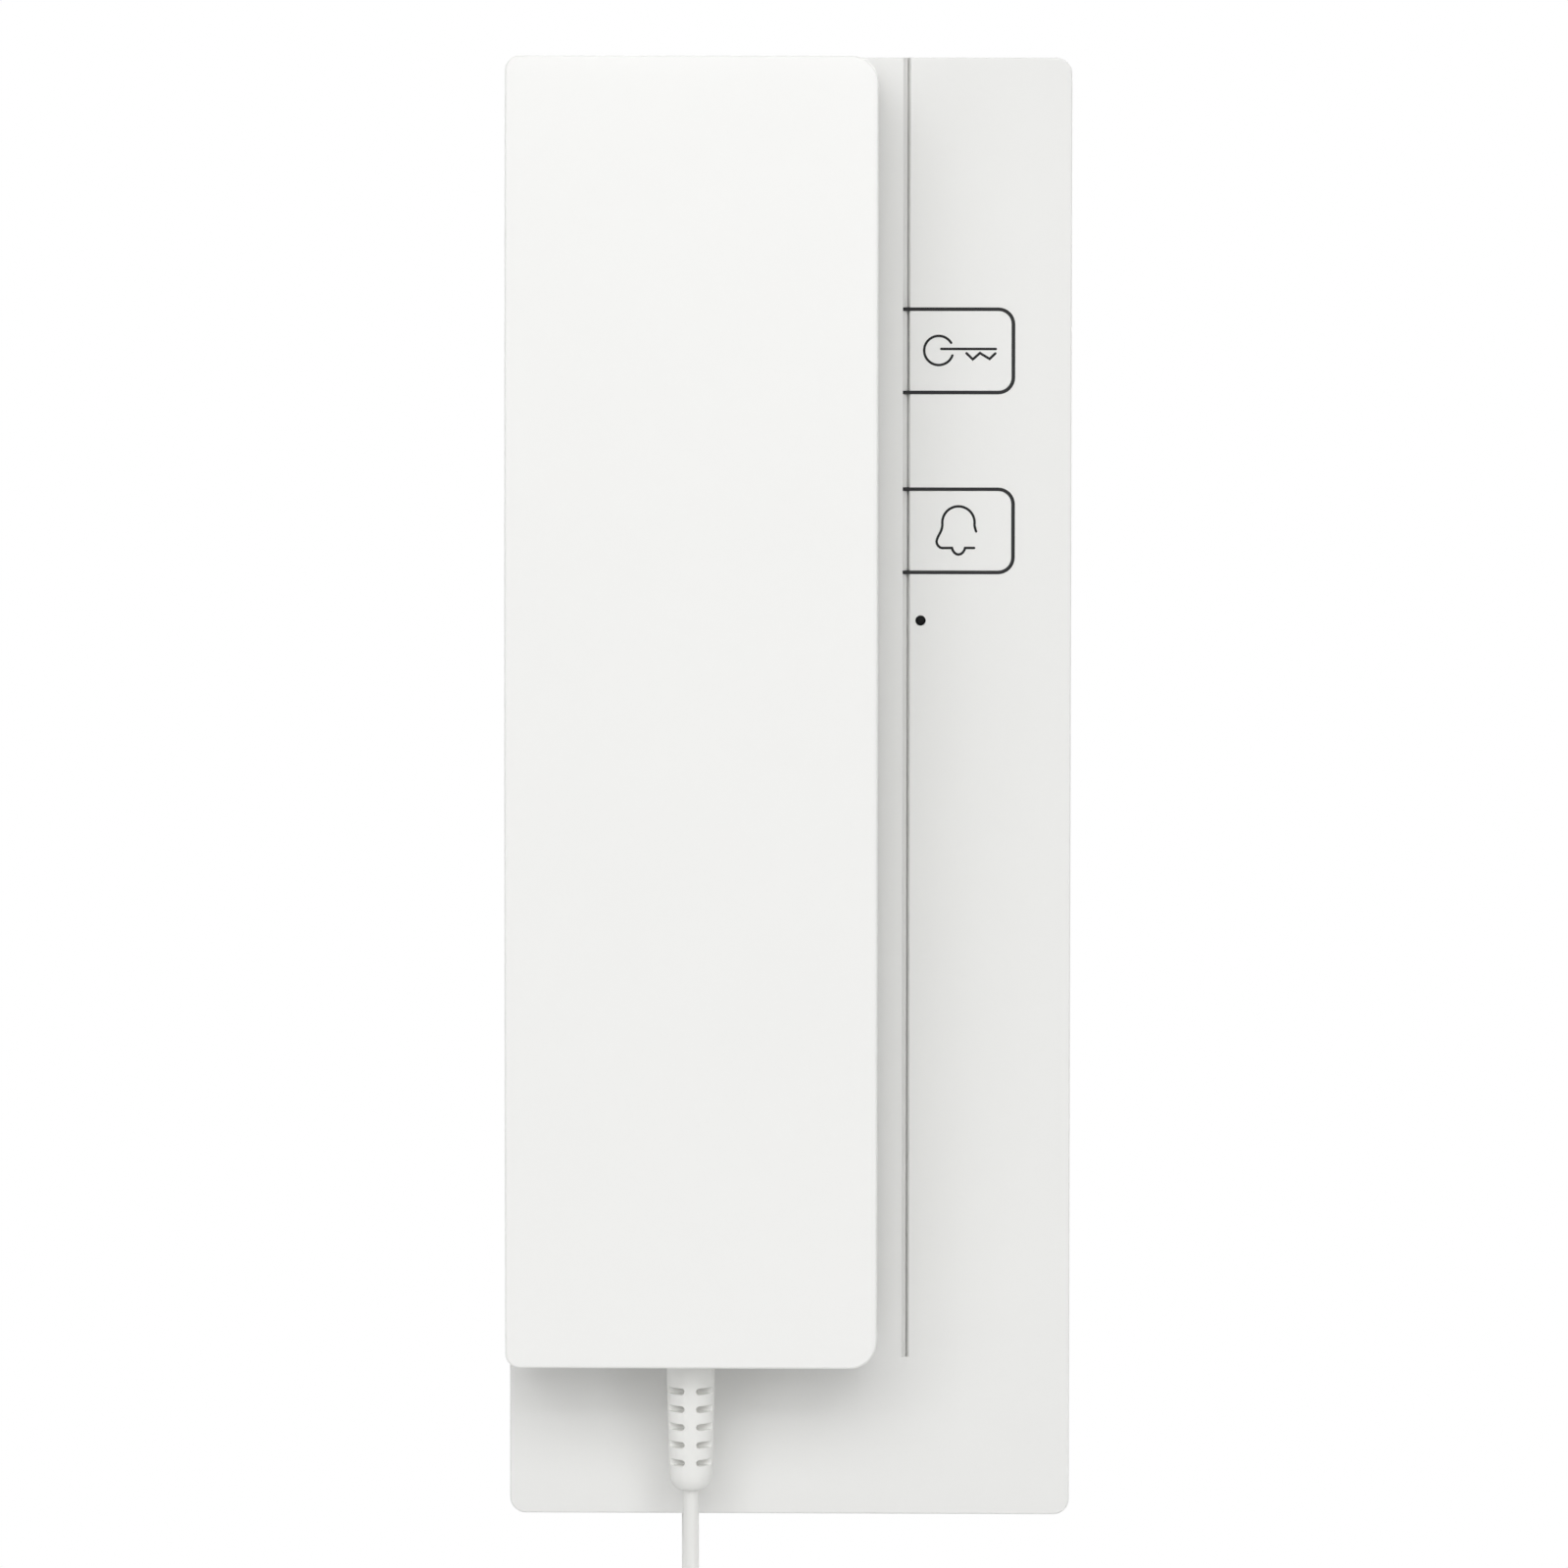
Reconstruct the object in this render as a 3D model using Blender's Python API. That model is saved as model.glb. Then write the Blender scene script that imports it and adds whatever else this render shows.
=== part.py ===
"""A slim wall-mounted door-entry telephone: base, hinged keys, lift-off handset and curly cord.

Metres, +Z up. The wall is the plane y = 0 and the telephone faces -Y. The origin is the back face's centre.
"""

import math

import bmesh
import bpy
import numpy as np
from mathutils import Matrix, Vector

GAP = 0.0003  # between pieces that touch
OVER = 0.001  # how far a cutter runs past what it cuts
ROUND_SIDES = 24
SMALL_SIDES = 12

# Base
BASE_WIDTH = 0.085
BASE_HEIGHT = 0.221
BASE_DEPTH = 0.020
BASE_CORNER = 0.0024
FRONT_FILLET = 0.0007
SHELL = 0.0020
PANEL_THICKNESS = 0.0022
PLATE_THICKNESS = 0.0022
PARTING_Y = -0.005
LIP_HEIGHT = 0.0035
LIP_THICKNESS = 0.0016
HALF_WIDTH = BASE_WIDTH / 2
HALF_HEIGHT = BASE_HEIGHT / 2
PANEL_Y = -BASE_DEPTH
PANEL_BACK_Y = PANEL_Y + PANEL_THICKNESS

# Wall fixings
WALL_SLOT = (0.0025, 0.0045)  # half sizes
WALL_SLOT_AT = (0.0335, 0.100)
CABLE_WINDOW_X = (0.012, 0.036)
CABLE_WINDOW_Z = (-0.078, -0.048)

# Handset, flush with the base's left side and top
HANDSET_WIDTH = 0.056
HANDSET_LENGTH = 0.1962
HANDSET_FRONT_Y = -0.044
HANDSET_CROWN = 0.0025
HANDSET_SPLIT_Y = -0.030
HANDSET_BACK_Y = -0.0219
HANDSET_WALL = 0.0020
HANDSET_LEFT_CORNER = 0.0022
HANDSET_RIGHT_CORNER = 0.0040
HANDSET_EDGE = 0.0009
HANDSET_SCREWS_Z = (0.030, -0.036)
RECEIVER_PROFILE = ((-0.0262, 0.0085), (-0.0215, 0.0085), (-0.0215, 0.0140), (-0.0146, 0.0140))  # (y, radius)
FOAM_RING = (0.0168, 0.0100, (-0.0236, -0.0220))  # outer and inner radius, and y range
BOOT = (0.0080, (-0.0215, -0.0146))  # radius and y range
BOOT_BORE = (0.0052, (-0.0200, -0.0136))
MICROPHONE = (0.0048, (-0.0197, -0.0150))
WEIGHT_HALF = (0.018, 0.023)
WEIGHT_Z = -0.003
WEIGHT_Y = (-0.0370, -0.0290)
HANDSET_SCREW_SEAT_Y = -0.0253
HANDSET_SCREW_TIP_Y = -0.0360
SCREW_SINK = ((-0.0290, 0.0017), (-0.0256, 0.0017), (-0.0256, 0.0032), (-0.0209, 0.0032))  # (y, radius)
HANDSET_X = -HALF_WIDTH + HANDSET_WIDTH / 2
HANDSET_TOP = HALF_HEIGHT
HANDSET_FOOT = HANDSET_TOP - HANDSET_LENGTH

# Pods behind the ear and mouth pieces, and the wells that take them: (wide radius, narrow radius)
EAR_Z = 0.083
MOUTH_Z = -0.0625
EAR_POD = (0.0205, 0.0165)
MOUTH_POD = (0.0155, 0.0115)
POD_TIP_Y = -0.0122
POD_EDGE = 0.001
EAR_WELL = (0.0216, 0.0180)
MOUTH_WELL = (0.0166, 0.0130)
WELL_FLOOR_Y = -0.0107
WELL_WALL = 0.0018
WELL_RISE = 0.0012
SOUND_HOLE = 0.0009
EAR_HOLES = ((0.0, 1), (0.0040, 6), (0.0080, 12))  # (ring radius, holes)
MOUTH_HOLES = ((0.0, 1), (0.0032, 4))

# Groove and keys
GROOVE_X = (0.01697, 0.01772, 0.01808)  # left edge, bottom, right edge
GROOVE_DEPTH = 0.0008
GROOVE_FOOT_Z = -0.0865
KEY_X = (0.0179, 0.03373)
KEY_HALF_HEIGHT = 0.00618
KEY_SLIT = 0.00034
KEY_CORNER = 0.0020
KEY_THICKNESS = 0.0020
KEY_POST = 0.0015
KEY_Z = {"door_release_key": 0.06615, "call_key": 0.03878}
KEY_AXIS = (0.01775, -0.0193)

# Circuit board and what it carries
BOARD_FRONT_Y = -0.0104
BOARD_BACK_Y = -0.0088
BOARD_X = (0.012, 0.038)
BOARD_Z = (-0.028, 0.090)
BOARD_SCREWS = ((0.0155, 0.0845), (0.0345, 0.0845), (0.0155, -0.004))
SEAT_Y = BOARD_FRONT_Y - GAP
SWITCH_X = 0.029
SWITCH_HALF = 0.0030
SWITCH_FRONT_Y = -0.0140
SWITCH_POCKET_Y = -0.0115
BUTTON_Y = (-0.0150, -0.0125)
LED_X, LED_Z = 0.0197, 0.0251
LED_HOLE = 0.00065
TERMINAL_X = (0.0175, 0.0375)
TERMINAL_Z = (-0.0255, -0.0155)
TERMINAL_FRONT_Y = -0.0170
TERMINAL_PITCH = 0.0050
SOUNDER_RADIUS = 0.0150
SOUNDER_PROFILE = ((-0.0173, 0.0120), (-0.0173, 0.0150), (-0.0115, 0.0150), (-0.0095, 0.0105))  # (y, radius)
LED_PROFILE = ((-0.0175, 0.0008), (-0.0170, 0.0013), (-0.0160, 0.0015), (-0.0107, 0.0015))
CHIP = ((0.026, 0.033), (-0.0138, -0.0107), (0.012, 0.022))  # x, y and z ranges
CAPACITOR = (0.027, -0.0144, 0.0034, (-0.0090, 0.0025))  # x, y, radius and z range
SOUND_SLOT = (0.0070, 0.0008)  # half sizes
SOUND_SLOT_PITCH = 0.0040

# Screws
SCREW_SHANK = 0.0012
SCREW_HOLE = 0.0015
SCREW_HEAD = 0.0027
SCREW_HEAD_HEIGHT = 0.0018
COVER_SCREW_X, COVER_SCREW_Y = 0.010, -0.0115
HOUSING_BLOCK = (0.0040, (-0.0165, -0.001), (-0.1042, -0.0975))  # half width, y and z ranges
HOUSING_BLOCK_HOLE_Z = (-0.1060, -0.0985)
COVER_BLOCK = (0.0045, (-0.0185, -0.0068), (-0.1095, -0.1045))
COVER_BLOCK_ROOM = (0.0048, (-0.0120, -0.0052), (-0.1115, -0.1045))
COVER_SCREW_Z = (-0.1101, -0.0996)
COVER_SCREW_SINK = ((-0.1120, 0.0033), (-0.1080, 0.0033), (-0.1080, 0.0018), (-0.1030, 0.0018))  # (z, radius)

# Hook plunger, under the resting handset
HOOK_Z = 0.051
PLUNGER_HALF = (0.0042, 0.0052)
PLUNGER_FLANGE = (0.0060, 0.0070)
PLUNGER_FLANGE_Y = (-0.0145, -0.0132)
PLUNGER_STEM = 0.0024
PLUNGER_STEM_Y = -0.0096
HOOK_SWITCH_HALF = (0.0100, 0.0050)
HOOK_SWITCH_FRONT_Y = -0.0085
HOOK_BUTTON_Y = (-0.0093, -0.0064)
SPRING_WIRE = 0.0007
SPRING_RADIUS = 0.0036
SPRING_TURNS = 3

# Cord, strain relief, plug and socket
CORD = 0.0024
CORD_X = HANDSET_X - 0.0002
CURL_RADIUS = 0.0043
CURL_PITCH = 0.0031
CURL_GAP = 0.0006
CURL_POINTS = 8
CURLS_TOP_Z = -0.1245
RELIEF_LENGTH = 0.0200
RELIEF_TOP_RADIUS = 0.00365
RELIEF_END_RADIUS = 0.0033
RELIEF_NECK = 0.0026
RELIEF_FLANGE = 0.0038
RELIEF_LEAN = math.radians(5)
RELIEF_ROWS = 5
RELIEF_FIRST_ROW = 0.0044
RELIEF_ROW_PITCH = 0.00273
RELIEF_SLOT = 0.0010
RELIEF_SLOT_SPAN = (14, 38, 62)  # degrees from the front spine
JACK_X, JACK_Y = -0.0154, -0.0108
JACK_HALF = 0.0066
JACK_Z = (-0.1010, -0.0850)
JACK_BAY_HALF = 0.0085
JACK_BAY_Z = -0.1030
PLUG_HALF = (0.0038, 0.0033)
PLUG_Z = (-0.1040, -0.0925)


def clear_scene():
    for obj in list(bpy.data.objects):
        bpy.data.objects.remove(obj, do_unlink=True)


def material(name, colour, roughness, metallic=0.0):
    """A Principled material, made once for each name."""
    found = bpy.data.materials.get(name)
    if found:
        return found
    made = bpy.data.materials.new(name)
    made.use_nodes = True
    shader = made.node_tree.nodes["Principled BSDF"]
    shader.inputs["Base Color"].default_value = (*colour, 1.0)
    shader.inputs["Roughness"].default_value = roughness
    shader.inputs["Metallic"].default_value = metallic
    made.diffuse_color = (*colour, 1.0)
    return made


def white(name):
    """The casing's white ABS."""
    return material(name, (0.86, 0.86, 0.84), 0.45)


def black(name):
    return material(name, (0.03, 0.03, 0.03), 0.5)


def steel(name):
    return material(name, (0.62, 0.62, 0.63), 0.35, 1.0)


def new_object(name, data, finish=None):
    obj = bpy.data.objects.new(name, data)
    bpy.context.scene.collection.objects.link(obj)
    if finish:
        data.materials.append(finish)
    return obj


def solid(name, loops, finish=None):
    """A closed solid through loops of points that all have the same count, capped at both ends."""
    body = bmesh.new()
    rings = [[body.verts.new(point) for point in loop] for loop in loops]
    count = len(rings[0])
    for lower, upper in zip(rings, rings[1:]):
        for i in range(count):
            j = (i + 1) % count
            body.faces.new((lower[i], lower[j], upper[j], upper[i]))
    body.faces.new(rings[0])
    body.faces.new(rings[-1])
    bmesh.ops.recalc_face_normals(body, faces=body.faces)
    mesh = bpy.data.meshes.new(name)
    body.to_mesh(mesh)
    body.free()
    return new_object(name, mesh, finish)


def block(name, x_range, y_range, z_range, finish=None):
    """A plain box."""
    (x0, x1), (z0, z1) = x_range, z_range
    corners = ((x0, z0), (x1, z0), (x1, z1), (x0, z1))
    return solid(name, [[(x, y, z) for x, z in corners] for y in y_range], finish)


def rounded_rectangle(x_range, z_range, radii, steps):
    """Points (x, z) round a rectangle. radii: lower left, lower right, upper right, upper left."""
    corners = ((0, 0, 180), (1, 0, 270), (1, 1, 0), (0, 1, 90))
    points = []
    for (right, up, start), radius in zip(corners, radii):
        x = x_range[right] + (-radius if right else radius)
        z = z_range[up] + (-radius if up else radius)
        for step in range(steps + 1):
            angle = math.radians(start + 90 * step / steps)
            points.append((x + radius * math.cos(angle), z + radius * math.sin(angle)))
    return points


def slab(name, x_range, z_range, radii, sections, finish=None, steps=4):
    """A solid along Y with a rounded rectangular outline. sections: (y, inset) from end to end."""
    loops = []
    for y, inset in sections:
        xs = (x_range[0] + inset, x_range[1] - inset)
        zs = (z_range[0] + inset, z_range[1] - inset)
        drawn_in = [max(radius - inset, 0.0001) for radius in radii]
        outline = rounded_rectangle(xs, zs, drawn_in, steps)
        loops.append([(x, y, z) for x, z in outline])
    return solid(name, loops, finish)


def slab_about(name, centre, half, radius, sections, finish=None, steps=4):
    """A slab about a centre (x, z), with half sizes (x, z) and one corner radius."""
    x_range = (centre[0] - half[0], centre[0] + half[0])
    z_range = (centre[1] - half[1], centre[1] + half[1])
    return slab(name, x_range, z_range, [radius] * 4, sections, finish, steps)


def turned(name, centre, axis, profile, finish=None, sides=ROUND_SIDES):
    """A solid of revolution. profile: (distance along the axis, radius) from one flat end to the other."""
    turn = Vector(axis).to_track_quat("Z", "Y").to_matrix()
    loops = []
    for along, radius in profile:
        ring = []
        for i in range(sides):
            angle = 2 * math.pi * i / sides
            local = Vector((radius * math.cos(angle), radius * math.sin(angle), along))
            ring.append(Vector(centre) + turn @ local)
        loops.append(ring)
    return solid(name, loops, finish)


def turned_y(name, x, z, profile, finish=None, sides=ROUND_SIDES):
    """A turned solid whose axis is parallel to Y. profile: (y, radius)."""
    return turned(name, (x, 0, z), (0, 1, 0), profile, finish, sides)


def turned_z(name, x, y, profile, finish=None, sides=SMALL_SIDES):
    """A turned solid whose axis is parallel to Z. profile: (z, radius)."""
    return turned(name, (x, y, 0), (0, 0, 1), profile, finish, sides)


def rod(name, x, z, radius, y_range, finish=None, sides=SMALL_SIDES):
    """A plain cylinder parallel to Y."""
    return turned_y(name, x, z, [(y, radius) for y in y_range], finish, sides)


def evaluate(obj):
    """Applies the object's modifiers."""
    graph = bpy.context.evaluated_depsgraph_get()
    graph.update()
    obj.data = bpy.data.meshes.new_from_object(obj.evaluated_get(graph))
    obj.modifiers.clear()


def combine(target, other, operation):
    """Applies one Boolean to the target and removes the other object."""
    modifier = target.modifiers.new(operation.title(), "BOOLEAN")
    modifier.object = other
    modifier.operation = operation
    evaluate(target)
    bpy.data.objects.remove(other, do_unlink=True)


def cut(target, *cutters):
    """Cuts separate closed shapes, none of them overlapping another, away from the target."""
    together = bmesh.new()
    for cutter in cutters:
        together.from_mesh(cutter.data)
        bpy.data.objects.remove(cutter, do_unlink=True)
    mesh = bpy.data.meshes.new("cutter")
    together.to_mesh(mesh)
    together.free()
    combine(target, new_object("cutter", mesh), "DIFFERENCE")


def fuse(target, *others):
    for other in others:
        combine(target, other, "UNION")


def set_origin(obj, point):
    """Moves a piece's origin onto its joint and leaves its shape where it was."""
    obj.data.transform(Matrix.Translation(-Vector(point)))
    obj.location = point


def fillet_sections(y_edge, y_face, radius, steps=3):
    """(y, inset) pairs from an edge, along a wall and round a fillet that ends on y_face."""
    outward = 1 if y_face > y_edge else -1
    sections = [(y_edge, 0.0)]
    for step in range(steps + 1):
        angle = math.pi / 2 * step / steps
        y = y_face - outward * radius * (1 - math.sin(angle))
        sections.append((y, radius * (1 - math.cos(angle))))
    return sections


def base_slab(name, inset, sections, finish=None):
    """A slab with the base's outline, drawn in by inset."""
    half = (HALF_WIDTH - inset, HALF_HEIGHT - inset)
    radius = max(BASE_CORNER - inset, 0.0004)
    return slab_about(name, (0, 0), half, radius, sections, finish)


def jack_bay():
    """A cutter for the opening in the base's foot that the plug goes through."""
    x_range = (JACK_X - JACK_BAY_HALF, JACK_X + JACK_BAY_HALF)
    return block("jack_bay", x_range, (-0.0175, -0.0030), (-HALF_HEIGHT - OVER, JACK_BAY_Z))


def make_rear_housing():
    """The wall plate with its rim, the lip that locates the cover, screw pillars and cable window."""
    lip_inset = SHELL + GAP
    lip_y = PARTING_Y - LIP_HEIGHT
    steps = [(0.0, 0.0), (PARTING_Y, 0.0), (PARTING_Y, lip_inset), (lip_y, lip_inset)]
    housing = base_slab("rear_housing", 0.0, steps, white("rear_housing_abs"))
    hollow = [(-PLATE_THICKNESS, 0.0), (lip_y - OVER, 0.0)]
    cut(housing, base_slab("hollow", lip_inset + LIP_THICKNESS, hollow))
    cut(housing, *plate_openings())
    pillar_y = (BOARD_BACK_Y + GAP, -0.001)
    hole_y = (BOARD_BACK_Y - OVER, -0.0035)
    for x, z in BOARD_SCREWS:
        fuse(housing, rod("pillar", x, z, 0.0032, pillar_y, sides=16))
    cut(housing, *[rod("hole", x, z, SCREW_HOLE, hole_y) for x, z in BOARD_SCREWS])
    add_cover_screw_block(housing)
    for side in (-1, 1):
        rib_x = sorted(JACK_X + side * edge for edge in (JACK_HALF + GAP, JACK_BAY_HALF))
        fuse(housing, block("rib", rib_x, (-0.0125, -0.001), (JACK_Z[0] + 0.0005, JACK_Z[1] + 0.0005)))
    cut(housing, jack_bay())


def plate_openings():
    """Cutters for the wall screws' slots and the cable window."""
    through = [(OVER, 0.0), (-PLATE_THICKNESS - OVER, 0.0)]
    cutters = [slab("window", CABLE_WINDOW_X, CABLE_WINDOW_Z, [0.003] * 4, through)]
    for side in (-1, 1):
        for end in (-1, 1):
            centre = (side * WALL_SLOT_AT[0], end * WALL_SLOT_AT[1])
            cutters.append(slab_about("slot", centre, WALL_SLOT, 0.0024, through))
    return cutters


def block_at_cover_screw(name, sizes):
    half_width, y_range, z_range = sizes
    return block(name, (COVER_SCREW_X - half_width, COVER_SCREW_X + half_width), y_range, z_range)


def add_cover_screw_block(housing):
    """A block behind the foot that the cover's screw goes into, and room for the cover's own block."""
    fuse(housing, block_at_cover_screw("screw_block", HOUSING_BLOCK))
    screw_hole = [(z, SCREW_HOLE) for z in HOUSING_BLOCK_HOLE_Z]
    cut(housing, turned_z("hole", COVER_SCREW_X, COVER_SCREW_Y, screw_hole))
    cut(housing, block_at_cover_screw("room", COVER_BLOCK_ROOM))


def add_well(cover, z, radii):
    """A cup behind the panel that takes one end of the handset."""
    mouth, floor = radii
    slope = (mouth - floor) / (WELL_FLOOR_Y - PANEL_Y)
    outer = [(PANEL_Y + OVER, mouth + WELL_WALL), (WELL_FLOOR_Y + WELL_WALL, floor + WELL_WALL)]
    fuse(cover, turned_y("cup", HANDSET_X, z, outer))
    inner = [(PANEL_Y - OVER, mouth + slope * OVER), (WELL_FLOOR_Y, floor)]
    cut(cover, turned_y("hollow", HANDSET_X, z, inner))


def make_front_cover():
    """The front shell: panel, groove, key and plunger openings, and wells for the handset."""
    outer = fillet_sections(PARTING_Y - GAP, PANEL_Y, FRONT_FILLET)
    cover = base_slab("front_cover", 0.0, outer, white("front_cover_abs"))
    cut(cover, base_slab("hollow", SHELL, [(PANEL_BACK_Y, 0.0), (PARTING_Y + OVER, 0.0)]))
    add_well(cover, EAR_Z + WELL_RISE, EAR_WELL)
    add_well(cover, MOUTH_Z + WELL_RISE, MOUTH_WELL)
    ring_y = (PANEL_BACK_Y - OVER, -0.0125)
    fuse(cover, rod("sounder_ring", HANDSET_X, 0.0, SOUNDER_RADIUS + 0.0022, ring_y, sides=ROUND_SIDES))
    seat_y = (PANEL_BACK_Y, ring_y[1] + OVER)
    cut(cover, rod("sounder_seat", HANDSET_X, 0.0, SOUNDER_RADIUS + 0.0005, seat_y, sides=ROUND_SIDES))
    fuse(cover, block_at_cover_screw("screw_block", COVER_BLOCK))
    cut(cover, *panel_openings(), cover_screw_hole(), jack_bay())
    cut(cover, groove())


def panel_openings():
    """Cutters for what shows or sounds through the panel."""
    y_range = (PANEL_Y - OVER, PANEL_BACK_Y + OVER)
    through = [(y, 0.0) for y in y_range]
    cutters = [rod("led_hole", LED_X, LED_Z, LED_HOLE, y_range, sides=10)]
    for z in KEY_Z.values():
        half = KEY_HALF_HEIGHT + KEY_SLIT
        corner = KEY_CORNER + KEY_SLIT
        x_range = (KEY_X[0] - GAP, KEY_X[1] + KEY_SLIT)
        radii = (0.0001, corner, corner, 0.0001)
        cutters.append(slab("key_opening", x_range, (z - half, z + half), radii, through))
    plunger_room = [size + GAP for size in PLUNGER_HALF]
    cutters.append(slab_about("plunger_opening", (HANDSET_X, HOOK_Z), plunger_room, 0.0018, through))
    for row in range(-2, 3):
        centre = (HANDSET_X, row * SOUND_SLOT_PITCH)
        cutters.append(slab_about("sound_slot", centre, SOUND_SLOT, 0.0007, through, steps=2))
    return cutters


def cover_screw_hole():
    return turned_z("cover_screw_hole", COVER_SCREW_X, COVER_SCREW_Y, COVER_SCREW_SINK, sides=16)


def groove():
    """A V-shaped cutter: a wide slope on the left, a steep one on the right."""
    left, bottom, right = GROOVE_X
    over = 0.0005
    left_over = left - (bottom - left) * over / GROOVE_DEPTH
    right_over = right + (right - bottom) * over / GROOVE_DEPTH
    profile = ((left_over, PANEL_Y - over), (bottom, PANEL_Y + GROOVE_DEPTH), (right_over, PANEL_Y - over))
    return solid("groove", [[(x, y, z) for x, y in profile] for z in (GROOVE_FOOT_Z, HALF_HEIGHT + OVER)])


def make_cover_screw():
    foot, tip = COVER_SCREW_Z
    neck = foot + SCREW_HEAD_HEIGHT
    profile = [(foot, SCREW_HEAD), (neck, SCREW_HEAD), (neck, SCREW_SHANK), (tip, SCREW_SHANK)]
    turned_z("cover_screw", COVER_SCREW_X, COVER_SCREW_Y, profile, steel("screw_steel"))


def make_key(name):
    """A flap flush with the panel, hinged on the groove, with a post that presses its switch."""
    z = KEY_Z[name]
    z_range = (z - KEY_HALF_HEIGHT, z + KEY_HALF_HEIGHT)
    radii = (0.0002, KEY_CORNER, KEY_CORNER, 0.0002)
    faces = [(PANEL_Y, 0.0), (PANEL_Y + KEY_THICKNESS, 0.0)]
    key = slab(name, KEY_X, z_range, radii, faces, white("key_abs"))
    post_x = (SWITCH_X - KEY_POST, SWITCH_X + KEY_POST)
    fuse(key, block("post", post_x, (BUTTON_Y[0] - GAP, PANEL_Y + OVER), (z - KEY_POST, z + KEY_POST)))
    cut(key, groove())
    set_origin(key, (*KEY_AXIS, z))


def make_key_switch(prefix, z):
    """A tactile switch on the board, and its own small button."""
    x_range = (SWITCH_X - SWITCH_HALF, SWITCH_X + SWITCH_HALF)
    z_range = (z - SWITCH_HALF, z + SWITCH_HALF)
    body = block(f"{prefix}_switch", x_range, (SWITCH_FRONT_Y, SEAT_Y), z_range, black("switch_black"))
    cut(body, rod("pocket", SWITCH_X, z, 0.0021, (SWITCH_FRONT_Y - OVER, SWITCH_POCKET_Y), sides=16))
    grey = material("button_grey", (0.35, 0.35, 0.36), 0.5)
    button = rod(f"{prefix}_switch_button", SWITCH_X, z, 0.0017, BUTTON_Y, grey, sides=16)
    set_origin(button, (SWITCH_X, BUTTON_Y[0], z))


def make_board():
    """The circuit board with its screws, and the parts soldered to it."""
    faces = [(BOARD_FRONT_Y, 0.0), (BOARD_BACK_Y, 0.0)]
    green = material("board_green", (0.05, 0.22, 0.10), 0.5)
    board = slab("circuit_board", BOARD_X, BOARD_Z, [0.001] * 4, faces, green, steps=2)
    hole_y = (BOARD_FRONT_Y - OVER, BOARD_BACK_Y + OVER)
    cut(board, *[rod("hole", x, z, SCREW_HOLE + 0.0001, hole_y) for x, z in BOARD_SCREWS])
    for number, (x, z) in enumerate(BOARD_SCREWS, 1):
        head_y = SEAT_Y - SCREW_HEAD_HEIGHT
        profile = [(head_y, SCREW_HEAD), (SEAT_Y, SCREW_HEAD), (SEAT_Y, SCREW_SHANK), (-0.0045, SCREW_SHANK)]
        turned_y(f"board_screw_{number}", x, z, profile, steel("screw_steel"), SMALL_SIDES)
    make_key_switch("door", KEY_Z["door_release_key"])
    make_key_switch("call", KEY_Z["call_key"])
    dark = material("led_dark", (0.02, 0.02, 0.02), 0.25)
    turned_y("status_led", LED_X, LED_Z, LED_PROFILE, dark, SMALL_SIDES)
    block("amplifier_chip", *CHIP, black("chip_black"))
    sleeve = material("capacitor_sleeve", (0.03, 0.04, 0.10), 0.35)
    x, y, radius, z_range = CAPACITOR
    turned_z("capacitor", x, y, [(z, radius) for z in z_range], sleeve, sides=16)


def make_terminal_block():
    """A four-way screw terminal for the wires from the wall, with its screws."""
    green = material("terminal_green", (0.08, 0.30, 0.14), 0.45)
    body = block("terminal_block", TERMINAL_X, (TERMINAL_FRONT_Y, SEAT_Y), TERMINAL_Z, green)
    screw_z = TERMINAL_Z[0] + 0.0060
    ways = [TERMINAL_X[0] + TERMINAL_PITCH * (way + 0.5) for way in range(4)]
    well_y = (TERMINAL_FRONT_Y - OVER, -0.0125)
    wells = [rod("screw_well", x, screw_z, 0.0019, well_y) for x in ways]
    entry_y, entry_z = (-0.0138, -0.0114), (TERMINAL_Z[0] - OVER, TERMINAL_Z[0] + 0.0030)
    entries = [block("wire_entry", (x - 0.0012, x + 0.0012), entry_y, entry_z) for x in ways]
    cut(body, *wells, *entries)
    for number, x in enumerate(ways, 1):
        rod(f"terminal_screw_{number}", x, screw_z, 0.0016, (-0.0162, -0.0128), steel("terminal_steel"))


def make_call_sounder():
    """The sounder for calls, in its ring behind the panel's slots."""
    turned_y("call_sounder", HANDSET_X, 0.0, SOUNDER_PROFILE, black("sounder_black"))


def make_hook_plunger():
    """The plunger that the resting handset holds in."""
    nose_y = HANDSET_BACK_Y + GAP
    flange_front, flange_back = PLUNGER_FLANGE_Y
    centre = (HANDSET_X, HOOK_Z)
    nose = fillet_sections(flange_front, nose_y, 0.0010)
    plunger = slab_about("hook_plunger", centre, PLUNGER_HALF, 0.0015, nose, white("plunger_abs"))
    flange_faces = [(flange_front, 0.0), (flange_back, 0.0)]
    fuse(plunger, slab_about("flange", centre, PLUNGER_FLANGE, 0.0005, flange_faces, steps=1))
    fuse(plunger, rod("stem", *centre, PLUNGER_STEM, (flange_front + 0.0005, PLUNGER_STEM_Y), sides=16))
    set_origin(plunger, (HANDSET_X, nose_y, HOOK_Z))


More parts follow.
